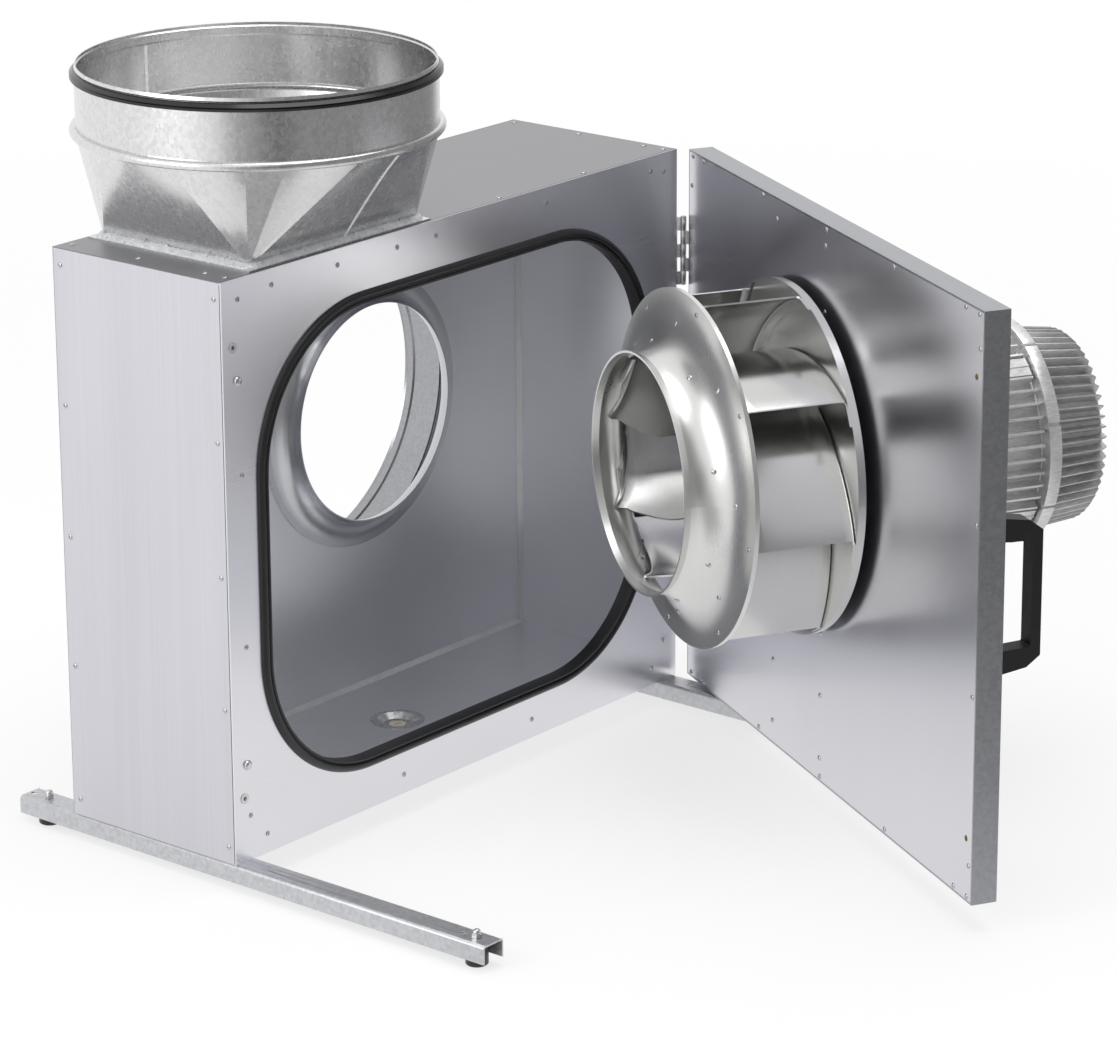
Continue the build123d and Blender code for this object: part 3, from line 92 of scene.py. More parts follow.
def startTree(name, inputs, result):
    # a geometry tree with its named inputs; gives back the tree and what comes in
    tree = bpy.data.node_groups.new(name, "GeometryNodeTree")
    for socketName, kind in inputs.items():
        tree.interface.new_socket(socketName, in_out="INPUT", socket_type="NodeSocket" + kind)
    tree.interface.new_socket(result, in_out="OUTPUT", socket_type="NodeSocketGeometry")
    return tree, addNode(tree, "NodeGroupInput").outputs


def endTree(tree, geometry, finish, result):
    real = addNode(tree, "GeometryNodeRealizeInstances", None, {"Geometry": geometry})
    dressed = addNode(tree, "GeometryNodeSetMaterial", None, {"Geometry": real, "Material": finish})
    addNode(tree, "NodeGroupOutput", None, {result: dressed})


def startMaterial(name):
    material = bpy.data.materials.new(name)
    material.use_nodes = True
    tree = material.node_tree
    shader = tree.nodes["Principled BSDF"]
    place = addNode(tree, "ShaderNodeTexCoord").outputs["Object"]
    return material, tree, shader, place


texture = {"grainRoughness": 0.55, "sheetSpread": 0.3, "warp": 0.3, "warpScale": 1.7,
           "zincRange": (0.35, 1.65), "solidRange": (0.6, 1.4)}
usualLook = {"lineShare": 0.3, "metallic": 1.0}


def perMetre(size):
    # scale of a texture with features of this size in millimetres: one number, or x, y and z
    return tuple(1000 / s for s in (size if isinstance(size, tuple) else (size, size, size)))


def grain(tree, place, size, detail, offset=0.0):
    scaled = addNode(tree, "ShaderNodeMapping", {
        "Scale": perMetre(size), "Location": (offset, offset, offset)}, {"Vector": place})
    return addNode(tree, "ShaderNodeTexNoise", {
        "Scale": 1.0, "Detail": detail, "Roughness": texture["grainRoughness"]}, {"Vector": scaled})


def rolledSheet(tree, place, look):
    # rolled sheet: fine lines along the rolling direction over broad soft clouds
    lines = grain(tree, place, look["lines"], 1.0)
    clouds = grain(tree, place, look["clouds"], 1.0, 7.0)
    both = addNode(tree, "ShaderNodeMath", {"operation": "MULTIPLY_ADD", 1: look["lineShare"]}, {
        0: lines, 2: clouds})
    middle, spread = 0.5 + look["lineShare"] / 2, texture["sheetSpread"]
    return both, (middle - spread, middle + spread), lines


def spangledZinc(tree, place, look):
    # hot-dip galvanised steel: zinc crystals that differ a little in brightness and gloss
    scaled = addNode(tree, "ShaderNodeMapping", {"Scale": perMetre(look["spangle"])}, {"Vector": place})
    wobble = addNode(tree, "ShaderNodeTexNoise", {"Scale": texture["warpScale"], "Detail": 3.0}, {
        "Vector": scaled})
    warped = addNode(tree, "ShaderNodeMix", {"data_type": "VECTOR", "Factor_Float": texture["warp"]}, {
        "A_Vector": scaled, "B_Vector": wobble.outputs["Color"]})
    crystals = addNode(tree, "ShaderNodeTexVoronoi", {"Scale": 1.0}, {"Vector": warped})
    shade = addNode(tree, "ShaderNodeSeparateColor", None, {"Color": crystals.outputs["Color"]})
    fine = grain(tree, place, look["grain"], 3.0)
    both = addNode(tree, "ShaderNodeMath", {"operation": "ADD"}, {0: fine, 1: shade})
    return both, texture["zincRange"], None


def grainedSolid(tree, place, look):
    # moulded, cast, turned or plated: one colour with a fine grain and a slight cloud
    fine = grain(tree, place, look["grain"], 3.0)
    clouds = grain(tree, place, look["clouds"], 2.0, 3.0)
    both = addNode(tree, "ShaderNodeMath", {"operation": "ADD"}, {0: fine, 1: clouds})
    return both, texture["solidRange"], fine


def paintedGrooveShade(tree, place, tone, groove):
    # painted shade: darkens the tone from the crest down to the root, by the distance from the motor's axis,
    # standing in for the shade that falls between the ribs
    fromCentre = addNode(tree, "ShaderNodeVectorMath", {"operation": "SUBTRACT", 1: tuple(fanCentre)}, {
        0: place})
    across = addNode(tree, "ShaderNodeVectorMath", {"operation": "CROSS_PRODUCT", 1: tuple(outOfDoor)}, {
        0: fromCentre})
    radius = addNode(tree, "ShaderNodeVectorMath", {"operation": "LENGTH"}, {0: across})
    share = addNode(tree, "ShaderNodeMapRange", {
        "From Min": groove["root"] * mm, "From Max": groove["crest"] * mm, "To Min": groove["rootShade"]}, {
        "Value": radius})
    return addNode(tree, "ShaderNodeMath", {"operation": "MULTIPLY"}, {0: tone, 1: share})


def makeFinish(name, look):
    # a tone from 0 to 1 sets colour and roughness, and the relief a slight bump
    material, tree, shader, place = startMaterial(name)
    look = {**usualLook, **look}
    pattern = rolledSheet if "lines" in look else spangledZinc if "spangle" in look else grainedSolid
    both, (low, high), relief = pattern(tree, place, look)
    tone = addNode(tree, "ShaderNodeMapRange", {"From Min": low, "From Max": high}, {"Value": both})
    # painted shade between the ribs, where a look asks for it
    if "grooveShade" in look:
        tone = paintedGrooveShade(tree, place, tone, look["grooveShade"])
    dark, light = map(linear, look["tones"])
    colour = addNode(tree, "ShaderNodeMix", {"data_type": "RGBA", "A_Color": dark, "B_Color": light}, {
        "Factor_Float": tone})
    rough = addNode(tree, "ShaderNodeMapRange", {
        "To Min": look["rough"][0], "To Max": look["rough"][1]}, {"Value": tone})
    bump = addNode(tree, "ShaderNodeBump", {"Strength": 1.0, "Distance": look["depth"] * mm}, {
        "Height": relief or tone})
    for source, socket in ((colour, "Base Color"), (rough, "Roughness"), (bump, "Normal")):
        tree.links.new(outputOf(source), shader.inputs[socket])
    shader.inputs["Metallic"].default_value = look["metallic"]
    return material


# Finishes: a material's name, the CAD nodes that wear it and its look, with sizes in millimetres
finishLooks = {
    # aluminium-zinc coated steel sheet: satin, with faint upright rolling lines, a little lilac
    "sideSheet": ("zincAluminiumSideSheet", "casing_wrap casing_back", {
        "lines": (2.6, 2.6, 500), "clouds": (90, 90, 400), "lineShare": 0.7, "tones": ("#cacad0", "#d1d1d7"),
        "rough": (0.42, 0.45), "metallic": 0.92, "depth": 0.002}),
    # painted shade: the roof wears the sides' coated sheet in a darker tone, for the darker light its top
    # catches
    "roofSheetPaintedShade": ("zincAluminiumRoofSheet", "casing_roof", {
        "lines": (500, 2.6, 2.6), "clouds": (300, 90, 90), "lineShare": 0.5, "tones": ("#929296", "#9a9a9e"),
        "rough": (0.36, 0.4), "metallic": 0.95, "depth": 0.002}),
    # a little glossier, so it shows the door and the floor as soft gradients
    "frontSheet": ("zincAluminiumFrontSheet", "front_frame", {
        "lines": (500, 2.6, 2.6), "clouds": (260, 90, 90), "tones": ("#e4e4e9", "#e9e9ed"),
        "rough": (0.27, 0.29), "depth": 0.001}),
    "linerSheet": ("zincAluminiumLinerSheet", "liner_wrap liner_back", {
        "lines": (500, 500, 2.6), "clouds": (200, 200, 120), "tones": ("#dcdde2", "#e3e4e9"),
        "rough": (0.32, 0.36), "metallic": 0.84, "depth": 0.001}),
    # inner skin of the door, the glossiest sheet
    "doorSheet": ("zincAluminiumDoorSheet", "door_inner_skin", {
        "lines": (3, 3, 500), "clouds": (120, 120, 400), "tones": ("#d6d6dc", "#dbdbe1"),
        "rough": (0.24, 0.27), "depth": 0.001}),
    # hot-dip galvanised steel with small bright spangles
    "ductZinc": ("galvanisedDuctSteel", "outlet_transition outlet_spigot drain_fitting", {
        "spangle": (2.6, 2.6, 3.4), "grain": 1.5, "tones": ("#d4d4d4", "#e4e4e4"), "rough": (0.21, 0.29),
        "depth": 0.003}),
    "spigotZinc": ("galvanisedSpigotSteel", "inlet_spigot", {
        "spangle": 2.2, "grain": 1.5, "tones": ("#9fa0a3", "#aaabae"), "rough": (0.22, 0.26),
        "depth": 0.002}),
    "edgeZinc": ("galvanisedEdgeSteel", "door_outer_tray motor_stiffeners", {
        "spangle": 3, "grain": 1.3, "tones": ("#9fa0a4", "#adaeb2"), "rough": (0.3, 0.4), "depth": 0.01}),
    "railZinc": ("galvanisedRailSteel", "rail_left rail_right", {
        "spangle": 3, "grain": 1.3, "tones": ("#bcbdc0", "#cfd0d3"), "rough": (0.34, 0.44), "metallic": 0.85,
        "depth": 0.01}),
    # nozzle spun from the same coated sheet as the liner, so its gloss runs round it
    "spunSheet": ("zincAluminiumSpunSheet", "inlet_nozzle", {
        "lines": (20, 4, 20), "clouds": 120, "tones": ("#c4c5c9", "#cccdd1"), "rough": (0.24, 0.28),
        "metallic": 0.9, "depth": 0.001}),
    # mill-finish aluminium sheet; the spun cover is a little duller than the blades
    "coverSheet": ("spunAluminium", "impeller_cover_plate", {
        "lines": (2.2, 2.2, 90), "clouds": 90, "lineShare": 0.4, "tones": ("#d9d9d8", "#e0e0de"),
        "rough": (0.27, 0.31), "metallic": 0.95, "depth": 0.001}),
    "bladeSheet": ("millFinishAluminium", "impeller_back_plate impeller_blades", {
        "lines": (2.2, 2.2, 90), "clouds": 90, "lineShare": 0.4, "tones": ("#d2d2d1", "#dadad8"),
        "rough": (0.18, 0.21), "depth": 0.001}),
    # pressure die-cast aluminium: flow streaks along the fins, and a cap with painted shade between its ribs
    "castAluminium": ("dieCastAluminium", "motor_front_shield stator_housing motor_rear_shield", {
        "grain": (9, 9, 0.9), "clouds": (90, 90, 40), "tones": ("#c0c0c2", "#ffffff"), "rough": (0.3, 0.42),
        "metallic": 0.76, "depth": 0.05}),
    "castCap": ("dieCastAluminiumCap", "motor_end_cap", {
        "grain": (9, 9, 0.9), "clouds": (90, 90, 40), "tones": ("#a4a4a6", "#ffffff"), "rough": (0.3, 0.42),
        "metallic": 0.82, "depth": 0.05, "grooveShade": {"root": 103, "crest": 115, "rootShade": 0.6}}),
    # extruded rubber with a wiped sheen
    "sealRubber": ("epdmRubber", "rubber_feet door_seal shaft_seal", {
        "grain": 0.8, "clouds": 30, "tones": ("#111112", "#1c1c1e"), "rough": (0.28, 0.4), "metallic": 0.0,
        "depth": 0.02}),
    "ductRubber": ("glossyDuctRubber", "inlet_duct_seal outlet_duct_seal", {
        "grain": 1.2, "clouds": 30, "tones": ("#131314", "#1d1d1f"), "rough": (0.16, 0.22), "metallic": 0.0,
        "depth": 0.01}),
    # glass-filled nylon, moulded with a fine grain
    "handleNylon": ("glassFilledNylon", "handle cable_gland", {
        "grain": 0.7, "clouds": 20, "tones": ("#0d0d0f", "#18181a"), "rough": (0.4, 0.52), "metallic": 0.0,
        "depth": 0.04}),
    # bright zinc plate on turned and pressed steel
    "zincPlate": (
        "zincPlatedSteel", "foot_studs dome_nuts threaded_inserts hinge_frame_leaves hinge_door_leaves "
        "hinge_pins hinge_frame_screws hinge_door_screws handle_screws motor_bolts motor_cap_screws "
        "hub_bolts shaft_end_bolt door_bumps", {
        "grain": 0.8, "clouds": 12, "tones": ("#c0c0c0", "#dedede"), "rough": (0.18, 0.28), "depth": 0.008}),
    "rivetAluminium": ("rivetAluminium", "housing_rivets door_rivets impeller_rivets", {
        "grain": 0.8, "clouds": 12, "tones": ("#b0b0b2", "#cacacc"), "rough": (0.2, 0.28), "depth": 0.004}),
    "turnedSteel": ("turnedShaftSteel", "motor_shaft shaft_key front_bearing rear_bearing", {
        "grain": 0.5, "clouds": 20, "tones": ("#9c9c9e", "#b8b8ba"), "rough": (0.2, 0.3), "depth": 0.01}),
    "hubIron": ("machinedCastIron", "impeller_hub", {
        "grain": 0.9, "clouds": 12, "tones": ("#6a6a6b", "#8a8a8b"), "rough": (0.34, 0.5), "depth": 0.04}),
    "laminations": ("electricalSteelStack", "stator_core rotor_core", {
        "grain": 0.6, "clouds": 12, "tones": ("#3c3d40", "#55565a"), "rough": (0.45, 0.6), "metallic": 0.9,
        "depth": 0.04}),
    "windingCopper": ("enamelledCopper", "stator_windings", {
        "grain": 1.2, "clouds": 12, "tones": ("#7a3b1c", "#b46a38"), "rough": (0.25, 0.4), "metallic": 0.8,
        "depth": 0.15}),
    # joint sealant, smoothed wet, so it is glossy and slightly lumpy
    "jointSealant": ("jointSealant", "outlet_sealant", {
        "grain": 3, "clouds": 14, "tones": ("#b2b4b7", "#e4e6e8"), "rough": (0.1, 0.2), "metallic": 0.12,
        "depth": 0.7}),
    # lock seam strip in a near-white tone: a painted highlight along the seam's folded edge
    "seamEdgeHighlight": ("scrapedZincEdge", "", {
        "grain": 2, "clouds": 20, "tones": ("#f0f0f0", "#ffffff"), "rough": (0.2, 0.3), "metallic": 0.25,
        "depth": 0.01}),
    # shadow in the joint between two folded sheets
    "jointShadow": ("darkJointLine", "", {
        "grain": 1, "clouds": 30, "tones": ("#2a2a2c", "#3c3c3f"), "rough": (0.6, 0.7), "metallic": 0.0,
        "depth": 0.01}),
    "cornerBead": ("clearCornerSealant", "corner_sealant", {
        "grain": 6, "clouds": 40, "tones": ("#b6b8bb", "#c4c6c9"), "rough": (0.2, 0.26), "metallic": 0.3,
        "depth": 0.02}),
    "plugNylon": ("naturalNylon", "drain_plug", {
        "grain": 0.8, "clouds": 8, "tones": ("#c2b9a2", "#d8d0bc"), "rough": (0.4, 0.5), "metallic": 0.0,
        "depth": 0.02}),
    "mineralWool": ("mineralWoolBoard", "insulation_boards door_insulation", {
        "grain": (0.9, 6, 6), "clouds": 20, "tones": ("#8d7f4a", "#b9ab70"), "rough": (0.85, 0.95),
        "metallic": 0.0, "depth": 0.6}),
}
finishes = {key: makeFinish(name, look) for key, (name, wearers, look) in finishLooks.items()}


def dress(thing, finish):
    thing.data.materials.clear()
    thing.data.materials.append(finishes[finish])


for finish, (name, wearers, look) in finishLooks.items():
    for nodeName in wearers.split():
        dress(frame["nodes"][nodeName], finish)
print("materials set:", len(finishes))

# Bent, cut and cast edges get the small radius that catches the light, in millimetres
edgeBevel = {"weld": 0.00001, "segments": 2, "fromAngle": 40}
edgeRadius = {
    "casing_wrap": 0.7, "casing_roof": 0.6, "casing_back": 0.6,
    "rail_left": 0.5, "rail_right": 0.5, "hinge_frame_leaves": 0.4, "hinge_door_leaves": 0.4, "handle": 1.4,
    "threaded_inserts": 0.25, "stator_housing": 0.5, "motor_rear_shield": 0.8,
    "cable_gland": 0.6, "rubber_feet": 0.4,
}
for nodeName, radius in edgeRadius.items():
    modifiers = frame["nodes"][nodeName].modifiers
    weld = modifiers.new("weld", "WELD")
    weld.merge_threshold = edgeBevel["weld"]
    bevel = modifiers.new("edge", "BEVEL")
    bevel.width = radius * mm
    bevel.segments = edgeBevel["segments"]
    bevel.limit_method = "ANGLE"
    bevel.angle_limit = math.radians(edgeBevel["fromAngle"])
    bevel.harden_normals = True
print("edges rounded on", len(edgeRadius), "nodes")


def shapeOf(thing):
    shape = bmesh.new()
    shape.from_mesh(thing.data)
    return shape


def solidPlaces(nodeName):
    # centre and flat-face direction of each separate solid of a CAD node
    shape = shapeOf(frame["nodes"][nodeName])
    bmesh.ops.remove_doubles(shape, verts=shape.verts, dist=sameSpot)
    waiting = set(shape.faces)
    places = []
    while waiting:
        queue = [waiting.pop()]
        corners = []
        flats = {}
        while queue:
            face = queue.pop()
            corners.extend(vertex.co for vertex in face.verts)
            key = tuple(round(value, 1) for value in face.normal)
            flats[key] = flats.get(key, Vector()) + face.normal * face.calc_area()
            for edge in face.edges:
                for other in edge.link_faces:
                    if other in waiting:
                        waiting.remove(other)
                        queue.append(other)
        low = Vector(min(corner[axis] for corner in corners) for axis in range(3))
        high = Vector(max(corner[axis] for corner in corners) for axis in range(3))
        flat = max(flats.values(), key=lambda total: total.length).normalized()
        places.append(((low + high) / 2, flat))
    shape.free()
    return sorted(places, key=lambda place: tuple(round(value, 5) for value in place[0]))


def poseFrom(facing, sideways):
    # turn that carries z to facing and x to sideways
    z = facing.normalized()
    x = (sideways - z * sideways.dot(z)).normalized()
    return Matrix((x, z.cross(x), z)).transposed().to_quaternion()


def smoothed(mesh, angle=35):
    mesh.polygons.foreach_set("use_smooth", [True] * len(mesh.polygons))
    mesh.set_sharp_from_angle(angle=math.radians(angle))


def linked(name, data):
    thing = bpy.data.objects.new(name, data)
    bpy.context.collection.objects.link(thing)
    return thing


def newObject(name, vertices=(), edges=(), faces=()):
    mesh = bpy.data.meshes.new(name)
    mesh.from_pydata(vertices, edges, faces)
    return linked(name, mesh)


def outwardMesh(shape, thing):
    # the bmesh becomes the thing's mesh, with its faces outwards
    bmesh.ops.recalc_face_normals(shape, faces=shape.faces)
    shape.to_mesh(thing.data)
    shape.free()
    return thing


def plainMesh(maker):
    # the maker's evaluated shape as its own plain mesh, with its modifiers gone
    depsgraph = bpy.context.evaluated_depsgraph_get()
    mesh = bpy.data.meshes.new_from_object(maker.evaluated_get(depsgraph))
    maker.modifiers.clear()
    maker.data = mesh
    return maker


def fitted(piece, body, replaced=()):
    smoothed(piece.data)
    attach(piece, body)
    if replaced:
        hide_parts(*replaced)
    return piece


def bands(rows, count, closed=True):
    # faces between rows of vertices, count to a row
    return [(low + i, low + (i + 1) % count, low + count + (i + 1) % count, low + count + i)
            for low in range(0, count * (rows - 1), count) for i in range(count if closed else count - 1)]


def lathe(name, rings, segments=24):
    # closed shape from rings in millimetres: (radius, height), and the corners of a ring that has some
    vertices = []
    for radius, height, *corners in rings:
        for i in range(segments):
            turn = 2 * math.pi * i / segments
            reach = radius
            if corners:
                half = math.pi / corners[0]
                reach = radius * math.cos(half) / math.cos(turn % (2 * half) - half)
            vertices.append((reach * math.cos(turn) * mm, reach * math.sin(turn) * mm, height * mm))
    faces = bands(len(rings), segments)
    faces.append(tuple(reversed(range(segments))))
    faces.append(tuple(range(segments * (len(rings) - 1), segments * len(rings))))
    return newObject(name, vertices, (), faces)


# One tree sets a head on every place, turned by the place's pose
headTree, given = startTree("headsOnPlaces", {
    "Places": "Geometry", "Head": "Object", "Finish": "Material"}, "Heads")
pose = addNode(headTree, "GeometryNodeInputNamedAttribute", {"data_type": "QUATERNION", "Name": "pose"})
headShape = addNode(headTree, "GeometryNodeObjectInfo", None, {"Object": given["Head"]})
heads = addNode(headTree, "GeometryNodeInstanceOnPoints", None, {
    "Points": given["Places"], "Instance": headShape.outputs["Geometry"], "Rotation": pose})
endTree(headTree, heads, given["Finish"], "Heads")


def applyTree(thing, tree, inputs):
    modifier = thing.modifiers.new("shape", "NODES")
    modifier.node_group = tree
    for item in tree.interface.items_tree:
        if item.in_out == "INPUT" and item.name in inputs:
            modifier[item.identifier] = inputs[item.name]
    return plainMesh(thing)


def setHeads(name, head, places, finish):
    # places are (point, facing, sideways)
    holder = newObject(name, [point for point, facing, sideways in places])
    poses = holder.data.attributes.new("pose", "QUATERNION", "POINT")
    for i, (point, facing, sideways) in enumerate(places):
        poses.data[i].value = poseFrom(facing, sideways)
    return applyTree(holder, headTree, {"Head": head, "Finish": finishes[finish]})


def roundAxis(facing, count, first=0):
    # places that turn evenly round the impeller's axis, from the first turn in degrees
    turns = [math.radians(first + 360 / count * i) for i in range(count)]
    return [(fanCentre, facing, alongDoor * math.cos(turn) + up * math.sin(turn)) for turn in turns]


# Blind rivets: a low dome with the hollow that the mandrel leaves
rivet = {"radius": 3.2, "height": 1.2, "hollow": 1.1, "hollowDepth": 0.75, "segments": 20}
hollowFloor = rivet["height"] - rivet["hollowDepth"]
rivetHead = lathe("rivetHead", [(rivet["radius"] * share, rise) for share, rise in (
    (0.9, -0.2), (1, 0), (1, 0.25), (0.93, 0.55), (0.78, 0.88), (0.58, 1.1))] + [
    (rivet["hollow"] + 0.25, rivet["height"]), (rivet["hollow"], rivet["height"] - 0.12),
    (rivet["hollow"] * 0.85, hollowFloor), (0.3, hollowFloor + 0.1)], rivet["segments"])
wrapLow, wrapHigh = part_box("casing_wrap")
boxMiddle = (Vector(wrapLow) + Vector(wrapHigh)) / 2


def rivetPlace(centre, flat, outward):
    facing = flat if flat.dot(outward) > 0 else -flat
    seat = centre - facing * rivet["height"] / 2 * mm
    return (seat, facing, up if abs(facing.z) < 0.9 else eastward)


housingPlaces = [rivetPlace(centre, flat, centre - boxMiddle)
                 for centre, flat in solidPlaces("housing_rivets")]
doorPlaces = [rivetPlace(centre, flat, toInlet) for centre, flat in solidPlaces("door_rivets")]
coverFrom = 30 * mm  # rivets farther than this from the door hold the cover
impellerPlaces = []
for centre, flat in solidPlaces("impeller_rivets"):
    onCover = (centre - fanCentre).dot(toInlet) > coverFrom
    impellerPlaces.append(rivetPlace(centre, flat, toInlet if onCover else outOfDoor))
for name, places, body, node in (
        ("housingRivets", housingPlaces, "housing", "housing_rivets"),
        ("doorRivets", doorPlaces, "door", "door_rivets"),
        ("impellerRivets", impellerPlaces, "rotor", "impeller_rivets")):
    fitted(setHeads(name, rivetHead, places, "rivetAluminium"), body, [node])
print("rivets set:", len(housingPlaces), len(doorPlaces), len(impellerPlaces))

# Tails of the cover's rivets, squeezed on the far side of the blades' flanges
rivetTail = {"radius": 2.7, "height": 2.4, "throughSheets": 4.7, "segments": 14}
tailHead = lathe("tailHead", [
    (1.6, -0.3), (2.3, 0.3), (rivetTail["radius"], 1.1), (2.4, 1.9), (1.5, rivetTail["height"]),
    (0.9, 1.9), (0.3, 1.6)], rivetTail["segments"])
tailPlaces = [(seat - facing * rivetTail["throughSheets"] * mm, -facing, sideways)
              for seat, facing, sideways in impellerPlaces if facing.dot(toInlet) > 0]
fitted(setHeads("coverRivetTails", tailHead, tailPlaces, "rivetAluminium"), "rotor")
print("rivet tails set:", len(tailPlaces))

# Heads: recessed round ones on the hinges, socket heads on the motor cap, acorn nuts on the feet
hingeHead = lathe("hingeHead", [(4.6, -0.2), (4.6, 0.4), (4.2, 0.9), (3.3, 1.25), (2.2, 1.4),
                                (1.8, 1.35, 6), (1.6, 0.5, 6), (0.3, 0.45)])
capHead = lathe("capHead", [
    (5, -0.2), (5, 2.5), (4.6, 3), (2.9, 3), (2.7, 2.8, 6), (2.6, 1.3, 6), (0.4, 1.2)])
acornNut = lathe("acornNut", [
    (6.4, 0), (6.5, 0.2), (6.5, 1), (6.2, 1.2), (5.4, 1.2, 6), (5.77, 1.6, 6), (5.77, 5.7, 6),
    (5.1, 6.2), (4.6, 6.25), (4.5, 7.6), (4.0, 8.9), (3.0, 10), (1.7, 10.6), (0.3, 10.8)])
# drop is how far the seat lies below the middle of the CAD solid, in millimetres
nutSideways = Vector((0.8, 0.6, 0))  # a nut's flats stand askew to the rail
for name, head, nodeName, outward, drop, body in (
        ("hingeFrameScrewHeads", hingeHead, "hinge_frame_screws", eastward, -0.55, "housing"),
        ("hingeDoorScrewHeads", hingeHead, "hinge_door_screws", -alongDoor, -0.55, "door"),
        ("motorCapScrewHeads", capHead, "motor_cap_screws", outOfDoor, 1.5, "door"),
        ("footAcornNuts", acornNut, "dome_nuts", up, 5.4, "housing")):
    places = []
    for centre, flat in solidPlaces(nodeName):
        facing = flat if flat.dot(outward) > 0 else -flat
        places.append((centre - facing * drop * mm, facing, nutSideways if outward == up else up))
    fitted(setHeads(name, head, places, "zincPlate"), body, [nodeName])
print("screw heads and nuts set")

# One tree sweeps a profile round a rectangle with round corners
loopTree, given = startTree("profileRoundLoop", {
    "Width": "Float", "Height": "Float", "Corner": "Float", "Step": "Float", "Lumps": "Float",
    "Lump Size": "Float", "Profile": "Object", "Finish": "Material"}, "Loop")
outline = addNode(loopTree, "GeometryNodeCurvePrimitiveQuadrilateral", None, {
    "Width": given["Width"], "Height": given["Height"]})
rounded = addNode(loopTree, "GeometryNodeFilletCurve", {"mode": "POLY", "Count": 32}, {
    "Curve": outline, "Radius": given["Corner"]})
stepped = addNode(loopTree, "GeometryNodeResampleCurve", {"mode": "LENGTH"}, {
    "Curve": rounded, "Length": given["Step"]})
level = addNode(loopTree, "GeometryNodeSetCurveNormal", {"mode": "Z_UP"}, {"Curve": stepped})
profileShape = addNode(loopTree, "GeometryNodeObjectInfo", None, {"Object": given["Profile"]})
profileCurve = addNode(loopTree, "GeometryNodeMeshToCurve", None, {"Mesh": profileShape.outputs["Geometry"]})
swept = addNode(loopTree, "GeometryNodeCurveToMesh", None, {"Curve": level, "Profile Curve": profileCurve})
lumpScale = addNode(loopTree, "ShaderNodeMath", {"operation": "DIVIDE", 0: 1.0}, {1: given["Lump Size"]})
lump = addNode(loopTree, "ShaderNodeTexNoise", {"Detail": 2.0}, {"Scale": lumpScale})
centred = addNode(loopTree, "ShaderNodeMath", {"operation": "SUBTRACT", 1: 0.5}, {0: lump})
reach = addNode(loopTree, "ShaderNodeMath", {"operation": "MULTIPLY"}, {0: centred, 1: given["Lumps"]})
facing = addNode(loopTree, "GeometryNodeInputNormal")
push = addNode(loopTree, "ShaderNodeVectorMath", {"operation": "SCALE"}, {"Vector": facing, "Scale": reach})
lumpy = addNode(loopTree, "GeometryNodeSetPosition", None, {"Geometry": swept, "Offset": push})
endTree(loopTree, lumpy, given["Finish"], "Loop")


def sweepLoop(name, profile, look, finish, placed):
    # in millimetres: the profile's points (out from the loop, up from its plane) and the tree's inputs
    count = len(profile)
    section = newObject(name + "Section", [(out * mm, -rise * mm, 0) for out, rise in profile],
                        [(i, (i + 1) % count) for i in range(count)])
    lengths = {key: length * mm for key, length in look.items()}
    loop = applyTree(newObject(name), loopTree, {**lengths, "Profile": section, "Finish": finishes[finish]})
    bpy.data.objects.remove(section)
    outwardMesh(shapeOf(loop), loop)
    loop.data.transform(placed)
    return loop


# Door seal: a hollow bulb outside, a groove, and the clip that grips the frame's lip
sealLow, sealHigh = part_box("door_seal")
doorSeal = {"cover": 10, "corner": 165, "proud": 6, "clip": 4, "lip": 12}
sealLook = {
    "Width": (sealHigh.x - sealLow.x) / mm - 2 * doorSeal["cover"],
    "Height": (sealHigh.z - sealLow.z) / mm - 2 * doorSeal["cover"],
    "Corner": doorSeal["corner"], "Step": 7, "Lumps": 0, "Lump Size": 50}
clip, proud, cover = doorSeal["clip"], doorSeal["proud"], doorSeal["cover"]
sealProfile = [
    (-clip, -doorSeal["lip"]), (-clip, 3.6), (-clip + 0.5, 4.7), (-clip + 1.6, 5.1), (-1.4, 4.9),
    (-0.7, 4.2), (-0.2, 3.2), (0.4, 3.0), (0.9, 3.9), (1.7, 5.1), (3.0, proud - 0.15), (4.4, proud),
    (6.0, 5.5), (7.6, 4.3), (8.9, 2.8), (9.7, 1.3), (cover, 0.0), (0.2, 0.0), (-0.3, -0.2),
    (-0.3, -doorSeal["lip"])]
sealPlane = Matrix.Translation(((sealLow.x + sealHigh.x) / 2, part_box("front_frame")[0].y,
                                (sealLow.z + sealHigh.z) / 2)) @ Matrix.Rotation(math.radians(90), 4, "X")
sealPiece = sweepLoop("doorSeal", sealProfile, sealLook, "sealRubber", sealPlane)
fitted(sealPiece, "housing", ["door_seal"])

# Sealant round the foot of the outlet, pressed in by hand and never quite even
beadLow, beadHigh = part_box("outlet_sealant")
outletMiddle = (Vector(beadLow) + Vector(beadHigh)) / 2
bead = {"width": 11, "rise": 5.9}
beadLook = {
    "Width": (beadHigh.x - beadLow.x) / mm - 2 * bead["width"],
    "Height": (beadHigh.y - beadLow.y) / mm - 2 * bead["width"],
    "Corner": 5, "Step": 3, "Lumps": 3.0, "Lump Size": 12}
beadProfile = [(0, -0.3), (bead["width"] - 0.6, -0.3), (10.2, 0.9), (8.9, 2.6), (7.2, 4.1), (5.4, 5.2),
               (3.2, bead["rise"])]
beadPlane = Matrix.Translation((outletMiddle.x, outletMiddle.y, beadLow.z))
sealantBead = sweepLoop("outletSealantBead", beadProfile, beadLook, "jointSealant", beadPlane)
fitted(sealantBead, "housing", ["outlet_sealant"])
print("seal and sealant swept")

